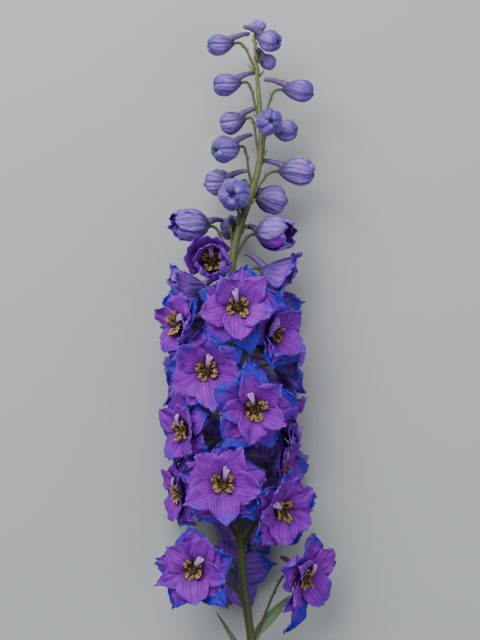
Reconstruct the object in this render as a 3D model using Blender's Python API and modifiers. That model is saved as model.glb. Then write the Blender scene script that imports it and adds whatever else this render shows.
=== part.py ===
"""A cut delphinium flower spike, lying on its side on a flat surface.

Buds crowd the tip, and open blooms cover the stem below them. The spike points along +Y and
its best side faces up, along +Z. Sizes are in millimetres until a mesh is made.
"""

import math
import random
from collections import namedtuple

import bmesh
import bpy
from mathutils import Matrix, Vector
from mathutils.bvhtree import BVHTree

MM = 0.001

# Driving dimensions, in millimetres and degrees
BLADE = 0.7  # thickness of a petal or a leaf
GAP = 0.35  # kept between neighbouring pieces
TABLE = -33.0  # surface below the stem's middle line
PRESS = 0.5  # how softly a petal lying on the table bends flat
STALK_RADII = (1.15, 0.75, 0.75, 0.95)  # from the stem to the flower
NECK = 2.0  # straight end of a flower's stalk
BUD_GROOVES = 0.07  # depth of the grooves of a bud, as a share of its radius
BUD_BELLY = 0.16  # how much thicker a bud is near its tip than in the middle
BUD_SPUR = 0.85  # length of a bud's spur, as a share of the bud's
CORE_DEPTH = 2.0  # half the length of a bloom's centre
CORE_RADII = (2.6, 3.1)  # at the back and at the front
FOOT_OUT = 2.0  # where a petal's middle line starts
FEET_UP = (-1.2, 0.2)  # height of the outer and the inner ring in a bloom's centre
SPUR_LENGTH = 15.0
SPUR_FOOT = (2.4, -0.8)  # up from a bloom's middle and back from it
SPUR_RADII = (1.5, 1.05, 0.6)
NOTCH = 0.34  # share of its length up to which a petal is joined to its neighbours
CLAW = 0.16  # width of a petal's root, as a share of its widest stretch
WIDTHS = (0.78, 0.84)  # width of an outer and an inner petal, as a share of its length
WAVE = 0.06  # height of the waves in a petal's edge, as a share of its width
INNER_SIZE = 0.8  # length of the inner petals, as a share of the outer ones
INNER_BOWL = 0.85  # radius of their hollow, in the same way
ANGLE_SPREAD = 4.0  # how far petals stray from an even ring
TIP_SPREAD = 6.0  # how far their tips stray from the form's angle
SIZE_SPREAD = 0.05  # how far their lengths and widths stray, as a share
BEE_REACH = 7.6  # how far the small dark petals reach from the middle
BEE_NOTCH = 0.42  # how far the clefts between them reach, as a share of that
BEE_SUNK = 1.2  # how deep they sit in the centre where they are part of the bloom
MOUTH = 7.5  # from the middle of a bloom's centre out to the middle of its mouth

# The stem's middle line from the cut end to the tip: x, y, z and radius
STEM = [
    (9.6, 0.0, 0.0, 2.5), (6.4, 34.0, 0.0, 2.45), (3.4, 54.0, 0.0, 2.4), (1.0, 74.0, 0.0, 2.4),
    (-0.4, 100.0, 0.0, 2.35), (-3.0, 132.0, 0.0, 2.3), (-4.8, 174.0, 0.0, 2.3),
    (-5.4, 216.0, 0.0, 2.25), (-5.1, 250.0, 0.0, 2.2), (-3.6, 267.0, 0.0, 2.2),
    (-0.4, 277.0, 0.0, 2.15), (7.0, 298.0, 0.0, 2.0), (12.0, 315.0, 0.0, 1.9),
    (13.2, 328.0, 0.0, 1.75), (12.0, 348.0, 0.0, 1.5), (10.4, 366.0, 0.0, 1.25),
    (9.4, 380.0, 0.0, 1.0), (8.6, 393.0, 0.0, 0.8),
]
STEM_STEPS = 20
RIB_STEPS = 16

# How a bloom's petals stand: angles from the flat, at the root and at the tip, how soon they
# ease, the radius of their hollow, and shares of the full petal width and of the bee's reach
Form = namedtuple("Form", "outer_root inner_root outer_tip inner_tip ease bowl slim bee")
FORMS = {
    "open": Form(54.0, 62.0, 4.0, 22.0, 3.2, 34.0, 1.0, 1.0),
    "cup": Form(50.0, 58.0, 22.0, 36.0, 2.2, 27.0, 0.96, 0.78),
    "bell": Form(46.0, 52.0, 40.0, 50.0, 1.4, 20.0, 0.88, 0.5),
    "bowl": Form(18.0, 24.0, 100.0, 106.0, 1.0, 14.0, 0.76, 0.72),
    "opening": Form(24.0, 30.0, 140.0, 140.0, 1.0, 10.5, 0.62, 0.0),
}

# Blooms: the middle of the mouth, the way it faces (yaw from straight up towards +X, pitch
# towards the tip), a turn about its own middle, the length of its outer petals, its form, its
# inner petals and where its stalk leaves the stem.
Bloom = namedtuple("Bloom", "name x y z yaw pitch roll size form inner node_y")
BLOOMS = [
    Bloom("bloom_01", -9.6, 126.8, 30.0, -4, 2, 4, 26.5, "open", 5, 97),
    Bloom("bloom_02", -0.9, 230.1, 32.0, 4, 2, -6, 25.0, "open", 5, 206),
    Bloom("bloom_03", -19.8, 192.3, 27.0, -14, -2, 10, 25.0, "open", 5, 166),
    Bloom("bloom_04", 8.7, 170.4, 31.0, 16, -4, -8, 25.0, "open", 5, 145),
    Bloom("bloom_05", -27.8, 75.7, 22.0, -14, 0, 6, 25.0, "open", 5, 53),
    Bloom("bloom_06", 26.3, 110.2, 22.0, 34, -8, -10, 24.5, "open", 5, 84),
    Bloom("bloom_07", -16.0, 256.3, 27.0, -6, 4, 0, 24.0, "bowl", 4, 236),
    Bloom("bloom_08", 21.5, 214.0, 20.0, 46, 0, 8, 23.5, "cup", 4, 192),
    Bloom("bloom_09", -38.4, 219.5, 14.0, -52, 2, 20, 22.0, "open", 4, 196),
    Bloom("bloom_10", -35.4, 156.6, 16.0, -54, -4, 9, 23.0, "open", 4, 132),
    Bloom("bloom_11", 40.8, 68.1, 7.0, 50, -14, 0, 26.5, "open", 4, 30),
    Bloom("bloom_12", -38.0, 117.5, 0.0, -66, -4, 5, 22.5, "open", 4, 90),
    Bloom("bloom_13", 29.5, 163.0, 0.0, 86, 0, -4, 22.5, "cup", 4, 137),
    Bloom("bloom_14", 21.0, 248.0, -4.0, 96, -26, 0, 24.0, "bell", 3, 230),
    Bloom("bloom_15", -29.0, 239.0, -6.0, -100, -14, 6, 26.0, "bell", 3, 222),
    Bloom("bloom_16", 28.0, 195.0, -12.0, 106, 0, 5, 24.0, "cup", 4, 170),
    Bloom("bloom_17", -33.0, 187.0, -13.0, -106, 0, -9, 24.0, "cup", 4, 164),
    Bloom("bloom_18", -5.0, 67.0, -27.0, 180, -4, 7, 22.0, "open", 3, 42),
    Bloom("bloom_19", 3.0, 101.0, -28.0, 174, 0, 0, 23.0, "open", 3, 78),
    Bloom("bloom_20", 27.0, 135.0, 0.0, 70, 0, 9, 21.0, "cup", 4, 112),
    Bloom("bloom_21", -21.0, 143.0, -25.0, 202, 0, -7, 24.0, "open", 3, 120),
    Bloom("bloom_22", 9.0, 173.0, -27.0, 170, 0, 4, 24.0, "open", 3, 150),
    Bloom("bloom_23", -16.0, 208.0, -26.0, 200, 0, 0, 24.0, "open", 3, 184),
    Bloom("bloom_24", 16.0, 226.0, -26.0, 162, 4, 5, 23.0, "open", 3, 205),
    Bloom("bloom_25", 20.0, 128.0, -26.5, 158, 0, 9, 22.5, "open", 3, 102),
    Bloom("bud_15", -27.0, 279.0, 4.0, -64, 4, 0, 26.0, "opening", 0, 252),
    Bloom("bud_16", 18.0, 273.5, 5.0, 60, 0, 0, 28.0, "opening", 0, 258),
]
BEES = 17  # blooms whose small dark petals are a piece of their own, and not part of the bloom

# Closed buds: middle, the way it faces, length, width and where its stalk leaves the stem
Bud = namedtuple("Bud", "name x y z yaw pitch length width node_y")
BUDS = [
    Bud("bud_01", -10.8, 387.0, 2.0, -80, -8, 15.0, 12.0, 372),
    Bud("bud_02", 16.5, 389.0, 5.0, 55, -16, 14.5, 12.5, 377),
    Bud("bud_03", 15.8, 378.0, -3.5, 120, -18, 10.5, 9.0, 369),
    Bud("bud_04", -6.8, 363.0, 3.0, -75, -10, 16.0, 13.0, 344),
    Bud("bud_05", 34.0, 359.4, 2.0, 80, -5, 17.5, 13.0, 340),
    Bud("bud_06", -3.6, 341.4, -4.0, -105, -14, 14.5, 13.0, 322),
    Bud("bud_07", 16.8, 339.0, 12.0, 10, -5, 16.5, 15.5, 320),
    Bud("bud_08", 26.0, 336.4, -3.0, 66, -10, 15.0, 13.0, 317),
    Bud("bud_09", -7.2, 324.0, 7.0, -52, -12, 17.0, 15.5, 303),
    Bud("bud_10", 33.0, 310.8, 4.0, 76, -2, 20.0, 16.5, 293),
    Bud("bud_11", -11.4, 305.4, -8.0, -128, 0, 17.0, 15.5, 286),
    Bud("bud_12", -3.0, 296.4, 13.0, -8, -8, 19.0, 18.5, 279),
    Bud("bud_13", 17.4, 295.2, -8.0, 124, -5, 19.0, 17.5, 276),
    Bud("bud_14", -5.0, 278.0, -13.0, 178, 0, 16.0, 15.0, 262),
]
TIP_BUDS = [(8.2, 397.0, 0.2, -50, 60, 6.0, 5.0), (12.2, 397.4, 0.8, 55, 50, 6.5, 5.4),
            (10.2, 399.2, -2.0, 180, 65, 5.5, 4.8)]

# Leaves on the lowest stretch: foot on the stem, direction yaw and pitch, length and width
LEAVES = [(30.0, 104, 50, 38.0, 7.0), (8.0, -80, 62, 50.0, 3.4), (88.0, 66, 56, 20.0, 4.6)]

# Bends tried in turn for a petal that meets a neighbour: lift of its outer stretch, and the
# share of that stretch's length that stays
Bend = namedtuple("Bend", "lift size")
STRAIGHT = Bend(0, 1.0)
LIFTS = {1.0: (0, -12, 12, -24, 24), 0.88: (0, -14, 14, -38, 38), 0.82: (-26, 26, -52, 52),
         0.7: (0, -26, 26, -58, 58), 0.56: (0, -40, 40, -70, 70), 0.4: (0, -50, 50)}
BENDS = [Bend(lift, size) for size, lifts in LIFTS.items() for lift in lifts]


def direction(yaw, pitch):
    """Unit vector: yaw 0 is straight up, 90 is +X, and pitch lifts it towards the spike's tip."""
    yaw, pitch = math.radians(yaw), math.radians(pitch)
    return Vector((math.sin(yaw) * math.cos(pitch), math.sin(pitch),
                   math.cos(yaw) * math.cos(pitch)))


def frame_of(item):
    """Matrix of a bloom's or bud's middle: +Z is the way it faces, +Y leans to the spike's tip."""
    facing = direction(item.yaw, item.pitch)
    up = (Vector((0, 1, 0)) - facing * facing.y).normalized()
    side = up.cross(facing)
    turn = Matrix((side, up, facing)).transposed().to_4x4()
    frame = Matrix.Translation((item.x, item.y, item.z)) @ turn
    if isinstance(item, Bloom):
        frame = frame @ Matrix.Translation((0, 0, -MOUTH))
        frame = frame @ Matrix.Rotation(math.radians(item.roll), 4, "Z")
    return frame


def pressed(point):
    """The point, lifted softly where it would lie below the table."""
    low = TABLE + BLADE / 2
    height = (point.z - low) / PRESS
    if height < 30:
        point = point.copy()
        point.z = low + PRESS * math.log1p(math.exp(height))
    return point


def stem_at(y):
    """Middle point and radius of the stem at a height along the spike."""
    for (x0, y0, z0, r0), (x1, y1, z1, r1) in zip(STEM, STEM[1:]):
        if y <= y1:
            break
    share = (y - y0) / (y1 - y0)
    return Vector((x0 + (x1 - x0) * share, y, z0 + (z1 - z0) * share)), r0 + (r1 - r0) * share


Petal = namedtuple("Petal", "angle foot_up length width root tip ease bowl wave")


def rings_of(bloom):
    """The outer and the inner ring of a bloom's petals, before any petal is bent."""
    form = FORMS[bloom.form]
    draw = random.Random(int(bloom.x * 10) * 1000 + int(bloom.y))

    def stray(spread):
        return draw.uniform(-spread, spread)

    rings = []
    for inner, count in enumerate((5, bloom.inner)):
        ring = []
        for number in range(count):
            angle = 90 + 360 / count * (number + inner / 2) + stray(ANGLE_SPREAD)
            length = bloom.size * (INNER_SIZE if inner else 1.0) * (1 + stray(SIZE_SPREAD))
            width = length * form.slim * WIDTHS[inner] * (1 + stray(SIZE_SPREAD))
            root = form.inner_root if inner else form.outer_root
            tip = (form.inner_tip if inner else form.outer_tip) + stray(TIP_SPREAD)
            bowl = form.bowl * (INNER_BOWL if inner else 1.0)
            wave = width * WAVE * form.bee * draw.choice((-1, 1)) * draw.uniform(0.6, 1.3)
            ring.append(Petal(angle, FEET_UP[inner], length, width, root, tip, form.ease, bowl,
                              wave))
        rings.append(ring)
    return rings


def free_share(share):
    """How far a place on a petal is past the notch: 0 up to it, 1 at the tip."""
    return max(0.0, (share - NOTCH) / (1 - NOTCH))


def slope_at(petal, bend, share):
    """Slope of a petal's middle line, in radians."""
    slope = petal.tip + (petal.root - petal.tip) * (1 - share) ** petal.ease
    return math.radians(slope + bend.lift * min(free_share(share) * 1.6, 1.0))


def rib(petal, bend, share):
    """Distance out and height of a petal's middle line at a share of its length."""
    out, up = FOOT_OUT, petal.foot_up
    for step in range(RIB_STEPS):
        at = (step + 0.5) / RIB_STEPS * share
        stride = petal.length * share / RIB_STEPS * (bend.size if at > NOTCH else 1.0)
        slope = slope_at(petal, bend, at)
        out += math.cos(slope) * stride
        up += math.sin(slope) * stride
    return out, up


def half_width(petal, bend, share):
    """Half the width of an egg-shaped petal with a narrow claw, at a share of its length."""
    claw = CLAW + (1 - CLAW) * math.sin(math.pi / 2 * min(share / 0.5, 1.0))
    tip = (1 - max(0.0, (share - 0.5) / 0.5) ** 2.4) ** 0.6
    narrowed = 1 - 0.5 * (1 - bend.size) * free_share(share)
    return petal.width / 2 * claw * tip * narrowed


def petal_point(frame, petal, bend, share, side):
    """A point of a petal's middle surface: share runs from root to tip, side from -1 to 1."""
    out, up = rib(petal, bend, share)
    slope = slope_at(petal, bend, share)
    across = half_width(petal, bend, share) * side
    curl = across * across / (2 * petal.bowl)
    curl += petal.wave * 2 * across / petal.width * math.sin(share * 8 + side)
    out -= math.sin(slope) * curl
    up += math.cos(slope) * curl
    turn = math.radians(petal.angle)
    local = Vector((math.cos(turn) * out - math.sin(turn) * across,
                    math.sin(turn) * out + math.cos(turn) * across, up))
    return pressed(frame @ local)


def ring_surface(frame, ring, number, bend):
    """Function surface(share, side) of one petal, joined to its neighbours up to the notch."""
    petal = ring[number]

    def surface(share, side):
        if share == 0.0:
            return frame @ Vector((0, 0, petal.foot_up))
        point = petal_point(frame, petal, bend, share, side)
        if side and share <= NOTCH:
            beside = ring[(number + int(side)) % len(ring)]
            point = (point + petal_point(frame, beside, STRAIGHT, share, -side)) / 2
        return point

    return surface


OUTER_ROWS = (0.0, NOTCH, 0.62, 0.86, 1.0)
INNER_ROWS = (0.0, NOTCH, 0.7, 1.0)
LEAF_ROWS = (0.0, 0.36, 0.76, 1.0)
SIDES = (-1.0, 0.0, 1.0)


def sheet_mesh(surface, rows):
    """Open triangulated sheet through surface(share, side), as a bmesh in metres."""
    sheet = bmesh.new()
    bmesh.ops.create_grid(sheet, x_segments=len(SIDES) - 1, y_segments=len(rows) - 1, size=1)
    ordered = sorted(sheet.verts, key=lambda v: (round(v.co.y, 4), round(v.co.x, 4)))
    places = [(share, side) for share in rows for side in SIDES]
    for vertex, (share, side) in zip(ordered, places):
        vertex.co = surface(share, side) * MM
    bmesh.ops.remove_doubles(sheet, verts=sheet.verts, dist=0.02 * MM)
    bmesh.ops.triangulate(sheet, faces=sheet.faces)
    return sheet


def new_object(name, mesh, collection):
    made = bpy.data.objects.new(name, mesh)
    collection.objects.link(made)
    return made


def mesh_object(name, shape, collection):
    """Object from a bmesh, which is freed."""
    mesh = bpy.data.meshes.new(name)
    shape.to_mesh(mesh)
    shape.free()
    return new_object(name, mesh, collection)


def applied(made):
    """Replaces an object's mesh by its evaluated one and drops its modifiers."""
    graph = bpy.context.evaluated_depsgraph_get()
    mesh = bpy.data.meshes.new_from_object(made.evaluated_get(graph))
    made.modifiers.clear()
    made.data = mesh
    return made


def thickened(made, thickness):
    """Gives a sheet an even thickness, half of it on each side."""
    shell = made.modifiers.new("thickness", "SOLIDIFY")
    shell.thickness = thickness * MM
    shell.offset = 0.0
    return applied(made)


def blade(name, surface, rows, collection, thickness=BLADE):
    """A petal or leaf of even thickness, as a closed mesh object."""
    return thickened(mesh_object(name, sheet_mesh(surface, rows), collection), thickness)


def petal_ring(name, frame, ring, bends, rows, collection):
    """A ring of petals as one blade, cut between them from the notch outwards."""
    whole = bmesh.new()
    for number, bend in enumerate(bends):
        if bend:
            sheet = sheet_mesh(ring_surface(frame, ring, number, bend), rows)
            petal = bpy.data.meshes.new(name)
            sheet.to_mesh(petal)
            sheet.free()
            whole.from_mesh(petal)
            bpy.data.meshes.remove(petal)
    bmesh.ops.remove_doubles(whole, verts=whole.verts, dist=0.02 * MM)
    bmesh.ops.recalc_face_normals(whole, faces=whole.faces)
    return thickened(mesh_object(name, whole, collection), BLADE)


def tube(name, points, radii, collection, resolution=0):
    """A round stalk through the points, closed at both ends, as a mesh object."""
    curve = bpy.data.curves.new(name, "CURVE")
    curve.dimensions = "3D"
    curve.bevel_depth = MM
    curve.bevel_resolution = resolution
    curve.use_fill_caps = True
    spline = curve.splines.new("POLY")
    spline.points.add(len(points) - 1)
    for knot, point, radius in zip(spline.points, points, radii):
        knot.co = (*(point * MM), 1.0)
        knot.radius = radius
    drawn = new_object(name + "_curve", curve, collection)
    graph = bpy.context.evaluated_depsgraph_get()
    mesh = bpy.data.meshes.new_from_object(drawn.evaluated_get(graph))
    made = new_object(name, mesh, collection)
    made.matrix_world = drawn.matrix_world
    bpy.data.objects.remove(drawn)
    shape = bmesh.new()
    shape.from_mesh(mesh)
    bmesh.ops.remove_doubles(shape, verts=shape.verts, dist=0.01 * MM)
    bmesh.ops.recalc_face_normals(shape, faces=shape.faces)
    shape.to_mesh(mesh)
    shape.free()
    return made


def bezier(a, b, c, d, steps):
    """Points of a cubic curve with end points a and d."""
    made = []
    for step in range(steps + 1):
        t = step / steps
        made.append(a * (1 - t) ** 3 + b * 3 * t * (1 - t) ** 2 + c * 3 * t * t * (1 - t)
                    + d * t ** 3)
    return made


def fused(name, body, others, material, solver="EXACT"):
    """One solid from a body and the pieces that grow from it."""
    pieces = bpy.data.collections.new(name + "_pieces")
    bpy.context.scene.collection.children.link(pieces)
    for piece in others:
        for home in list(piece.users_collection):
            home.objects.unlink(piece)
        pieces.objects.link(piece)
    join = body.modifiers.new("join", "BOOLEAN")
    join.operation = "UNION"
    join.operand_type = "COLLECTION"
    join.collection = pieces
    join.solver = solver
    applied(body)
    for piece in list(pieces.objects):
        bpy.data.objects.remove(piece)
    bpy.data.collections.remove(pieces)
    body.name = name
    body.data.materials.clear()
    body.data.materials.append(material)
    return body


def tree_of(made):
    """Search tree of an object's faces, in millimetres, with its box."""
    points = [vertex.co / MM for vertex in made.data.vertices]
    faces = [tuple(face.vertices) for face in made.data.polygons]
    return boxed(points, faces)


def boxed(points, faces):
    low = Vector([min(point[axis] for point in points) for axis in range(3)])
    high = Vector([max(point[axis] for point in points) for axis in range(3)])
    return low, high, BVHTree.FromPolygons(points, faces)


def probe_of(frame, ring, number, bend, rows, collection):
    """Search tree of a petal swollen by the gap, to find what it would touch."""
    wide = [petal._replace(length=petal.length + GAP, width=petal.width + 2 * GAP)
            for petal in ring]
    made = blade("probe", ring_surface(frame, wide, number, bend), rows, collection,
                 BLADE + 2 * GAP)
    tree = tree_of(made)
    bpy.data.objects.remove(made)
    return tree


def clear(probe, obstacles):
    """Whether a probe touches none of the obstacles."""
    low, high, tree = probe
    for other_low, other_high, other in obstacles:
        if all(low[k] <= other_high[k] and other_low[k] <= high[k] for k in range(3)):
            if tree.overlap(other):
                return False
    return True


def material(name, colour, roughness):
    made = bpy.data.materials.new(name)
    made.use_nodes = True
    shader = made.node_tree.nodes["Principled BSDF"]
    shader.inputs["Base Color"].default_value = (*colour, 1.0)
    shader.inputs["Roughness"].default_value = roughness
    shader.inputs["Metallic"].default_value = 0.0
    return made


def bud_body(name, frame, length, width, collection, segments=(10, 5)):
    """A closed bud with five sepals that meet in grooves, along the frame's +Z."""
    shape = bmesh.new()
    bmesh.ops.create_uvsphere(shape, u_segments=segments[0], v_segments=segments[1], radius=1.0)
    for vertex in shape.verts:
        along = vertex.co.z
        turn = math.atan2(vertex.co.y, vertex.co.x)
        ridge = 1.0 + BUD_GROOVES * math.cos(5 * turn) * (1 - along * along)
        belly = 1.0 + BUD_BELLY * along
        radius = width / 2 * ridge * belly
        local = Vector((vertex.co.x * radius, vertex.co.y * radius, along * length / 2))
        vertex.co = frame @ local * MM
    return mesh_object(name, shape, collection)


def spur_points(frame, foot_up, foot_back, length, turn):
    """Middle line of a spur that runs back from a flower's upper side and dips at its end."""
    back = frame.to_3x3() @ (Matrix.Rotation(math.radians(turn), 3, "Y") @ Vector((0, 0.3, -1)))
    up = frame.to_3x3() @ Vector((0, 1, 0))
    start = frame @ Vector((0, foot_up, foot_back))
    back.normalize()
    return bezier(start, start + back * length * 0.4 + up * 0.6,
                  start + back * length * 0.7, start + back * length - up * 1.6, 2)


def free_spur(name, frame, foot, length, obstacles, collection):
    """The first spur, tried at several turns, whose outer part touches nothing."""
    for size in (1.0, 0.8, 0.6):
        for turn in (0, 14, -14, 28, -28, 42, -42, 58, -58, 74, -74):
            points = spur_points(frame, *foot, length * size, turn)
            made = tube(name, points, SPUR_RADII, collection)
            wide = tube(name + "_wide", points, [radius + GAP for radius in SPUR_RADII],
                        collection)
            probe = tree_of(wide)
            bpy.data.objects.remove(wide)
            if clear(probe, obstacles):
                return made
            bpy.data.objects.remove(made)
    return None


def stalk_end(item, back):
    """Where the stalk of a bud or bloom ends, just short of its back."""
    frame = frame_of(item)
    return frame @ Vector((0, 0, -back - GAP)), frame.to_3x3() @ Vector((0, 0, 1))


def stalk(name, item, back, collection):
    """A flower's stalk, from its place on the stem to the flower's back."""
    end, facing = stalk_end(item, back)
    foot, radius = stem_at(item.node_y)
    reach = (end - foot).length
    outward = Vector((end.x - foot.x, 0, end.z - foot.z)).normalized()
    start = foot + outward * radius * 0.3
    first = start + (outward * 0.55 + Vector((0, 0.85, 0))) * reach * 0.35
    neck = end - facing * NECK
    points = bezier(start, first, neck - facing * reach * 0.25, neck, 2) + [end]
    return tube(name, points, STALK_RADII, collection)


def leaf_surface(leaf):
    foot_y, yaw, pitch, length, width = leaf
    foot, radius = stem_at(foot_y)
    way = direction(yaw, pitch)
    flat = way.cross(Vector((0, 0, 1))).normalized()

    def surface(share, side):
        droop = Vector((0, -0.10, -0.04)) * length * share * share
        across = width / 2 * (0.3 + 0.7 * math.sin(math.pi * min(share * 0.9 + 0.05, 1.0)))
        across *= (1 - share ** 3) ** 0.5
        fold = Vector((0, 0, 0.25)) * abs(side) * across
        return foot + way * length * share + droop + flat * side * across + fold

    return surface


def build_stem(collection, green):
    """The stem with every flower stalk and the lowest leaves, as one piece."""
    knots = []
    for step in range(STEM_STEPS + 1):
        y = STEM[-1][1] * step / STEM_STEPS
        knots.append(stem_at(y))
    body = tube("stem", [point for point, _ in knots], [radius for _, radius in knots],
                collection, resolution=2)
    others = [stalk("stalk", bud, bud.length / 2, collection) for bud in BUDS]
    others += [stalk("stalk", bloom, CORE_DEPTH, collection) for bloom in BLOOMS]
    others += [blade("leaf", leaf_surface(leaf), LEAF_ROWS, collection) for leaf in LEAVES]
    return fused("stem", body, others, green)


def build_bud(bud, obstacles, collection, blue):
    """A closed bud and its spur."""
    frame = frame_of(bud)
    body = bud_body(bud.name, frame, bud.length, bud.width, collection)
    foot = (bud.width * 0.2, -bud.length * 0.34)
    spur = free_spur("spur", frame, foot, bud.length * BUD_SPUR, obstacles, collection)
    return fused(bud.name, body, [spur] if spur else [], blue)


def build_tip(collection, blue):
    """The tiny buds crowded on the very tip."""
    Small = namedtuple("Small", "x y z yaw pitch")
    bodies = [bud_body("tip", frame_of(Small(*row[:5])), row[5], row[6], collection, (8, 4))
              for row in TIP_BUDS]
    return fused("bud_tip", bodies[0], bodies[1:], blue)


def free_bends(bloom, frame, ring, rows, obstacles, collection):
    """The first bend of each petal of a ring that keeps it clear of the obstacles."""
    bends = []
    for number in range(len(ring)):
        for bend in BENDS:
            if clear(probe_of(frame, ring, number, bend, rows, collection), obstacles):
                bends.append(bend)
                break
        else:
            print(bloom.name, "loses a petal at", round(ring[number].angle))
            bends.append(None)
    return bends


def build_bloom(bloom, with_bee, obstacles, collection, colour):
    """A bloom: its centre, spur, outer and inner petals, each bent clear of other blooms."""
    frame = frame_of(bloom)
    shape = bmesh.new()
    bmesh.ops.create_cone(shape, cap_ends=True, segments=6, radius1=CORE_RADII[0],
                          radius2=CORE_RADII[1], depth=2 * CORE_DEPTH)
    for vertex in shape.verts:
        vertex.co = frame @ vertex.co * MM
    body = mesh_object(bloom.name, shape, collection)
    others = [bee_body("bee", bloom, BEE_SUNK, 8, collection)] if with_bee else []
    for ring, rows in zip(rings_of(bloom), (OUTER_ROWS, INNER_ROWS)):
        if ring:
            bends = free_bends(bloom, frame, ring, rows, obstacles, collection)
            others.append(petal_ring("ring", frame, ring, bends, rows, collection))
    spur = free_spur("spur", frame, SPUR_FOOT, SPUR_LENGTH, obstacles, collection)
    if spur:
        others.append(spur)
    else:
        print(bloom.name, "loses its spur")
    return fused(bloom.name, body, others, colour)


def bee_body(name, bloom, sunk, around, collection):
    """The small dark petals in a bloom's throat: four blunt lobes round a dished middle."""
    frame = frame_of(bloom)
    reach = BEE_REACH * FORMS[bloom.form].bee
    shape = bmesh.new()
    bmesh.ops.create_uvsphere(shape, u_segments=around, v_segments=4, radius=1.0)
    levels = sorted({round(vertex.co.z, 4) for vertex in shape.verts})
    foot, waist, rim, dish, middle = levels
    profile = {foot: (0.0, 0.0), waist: (1.6, 0.6), rim: (reach, 5.4), dish: (1.3, 3.6),
               middle: (0.0, 3.2)}
    for vertex in shape.verts:
        level = round(vertex.co.z, 4)
        radius, height = profile[level]
        turn = math.atan2(vertex.co.y, vertex.co.x)
        cleft = round(turn / math.tau * around) % (around // 4) == 0
        if level == rim and cleft:
            radius *= BEE_NOTCH
        height += CORE_DEPTH + GAP - sunk
        local = Vector((math.cos(turn) * radius, math.sin(turn) * radius, height))
        vertex.co = pressed(frame @ local) * MM
    return mesh_object(name, shape, collection)


def main():
    for old in list(bpy.data.objects):
        bpy.data.objects.remove(old)
    spike = bpy.data.collections.new("delphinium_spike")
    bpy.context.scene.collection.children.link(spike)
    green = material("stem_green", (0.13, 0.17, 0.06), 0.6)
    blue = material("bud_blue", (0.16, 0.13, 0.48), 0.55)
    violet = material("petal_violet", (0.24, 0.07, 0.5), 0.55)
    brown = material("bee_brown", (0.13, 0.06, 0.02), 0.7)

    pieces = [build_stem(spike, green)]
    obstacles = [tree_of(pieces[0])]

    def keep(made):
        pieces.append(made)
        obstacles.append(tree_of(made))

    keep(build_tip(spike, blue))
    for bud in BUDS:
        keep(build_bud(bud, obstacles, spike, blue))
    for number, bloom in enumerate(BLOOMS, 1):
        apart = number <= BEES
        if apart:
            bee = bee_body(f"bee_{number:02d}", bloom, 0.0, 12, spike)
            bee.data.materials.append(brown)
            keep(bee)
        opening = bloom.form == "opening"
        fused_bee = not apart and not opening
        keep(build_bloom(bloom, fused_bee, obstacles, spike, blue if opening else violet))

    corners = [vertex.co for piece in pieces for vertex in piece.data.vertices]
    low = Vector([min(corner[axis] for corner in corners) for axis in range(3)])
    high = Vector([max(corner[axis] for corner in corners) for axis in range(3)])
    on_table = bpy.data.objects.new("spike_on_table", None)
    spike.objects.link(on_table)
    on_table.location = (-(low.x + high.x) / 2, -(low.y + high.y) / 2, -low.z)
    for piece in pieces:
        piece.parent = on_table
    bpy.context.view_layer.update()
    for piece in pieces:
        piece.data.calc_loop_triangles()
    print("triangles:", sum(len(piece.data.loop_triangles) for piece in pieces))


main()
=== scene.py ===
from math import cos, exp, hypot, log1p, pi, radians, sin, sqrt, tan, tau
from random import Random

import bpy
import numpy as np
from mathutils import Matrix, Vector, noise
from mathutils.kdtree import KDTree


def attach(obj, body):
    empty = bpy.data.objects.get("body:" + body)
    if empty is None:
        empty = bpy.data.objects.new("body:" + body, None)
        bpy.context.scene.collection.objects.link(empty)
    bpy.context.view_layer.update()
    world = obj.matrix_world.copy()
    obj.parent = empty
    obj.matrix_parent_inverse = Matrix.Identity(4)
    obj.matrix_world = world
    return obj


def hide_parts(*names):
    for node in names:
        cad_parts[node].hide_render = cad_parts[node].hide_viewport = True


# A cut delphinium spike that lies on a table. Lengths are millimetres of the spike's own drawing:
# y runs up the stem from the cut end, x to the right and z up from the stem's middle line.

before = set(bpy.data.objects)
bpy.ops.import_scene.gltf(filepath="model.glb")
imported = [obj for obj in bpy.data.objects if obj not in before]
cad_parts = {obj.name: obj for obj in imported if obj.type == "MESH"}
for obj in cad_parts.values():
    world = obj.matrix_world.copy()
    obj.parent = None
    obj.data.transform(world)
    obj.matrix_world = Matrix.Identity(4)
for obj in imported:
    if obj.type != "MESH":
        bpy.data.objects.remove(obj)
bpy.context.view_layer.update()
mm = 0.001


def drawingOrigin(cutEnd=Vector((9.6, 0.0, 0.0))):
    # Where the drawing's zero lies in the world, told by the ring of corners at the cut end
    points = np.array([vertex.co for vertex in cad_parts["stem"].data.vertices])
    ring = points[points[:, 1] < points[:, 1].min() + 0.5 * mm]
    return Vector((ring.min(0) + ring.max(0)) / 2) - cutEnd * mm


origin = drawingOrigin()


def inWorld(point):
    return origin + Vector(point) * mm


def newObject(name, data):
    made = bpy.data.objects.new(name, data)
    bpy.context.scene.collection.objects.link(made)
    return made


def newMesh(name, points, faces):
    mesh = bpy.data.meshes.new(name)
    mesh.from_pydata([inWorld(point)[:] for point in points], [], faces)
    return mesh


# Camera: straight over the spike, as far off as shows it at the photograph's size

cameraSettings = {"lens": 85.0, "sensor": 36.0, "nearest": 0.05, "place": (0.0, 222.0, 907.0)}


def placeCamera(use):
    data = bpy.data.cameras.new("spikeCamera")
    data.lens, data.sensor_width, data.clip_start = use["lens"], use["sensor"], use["nearest"]
    camera = newObject("spikeCamera", data)
    camera.location = inWorld(use["place"])
    bpy.context.scene.camera = camera


placeCamera(cameraSettings)


# Node trees

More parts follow.
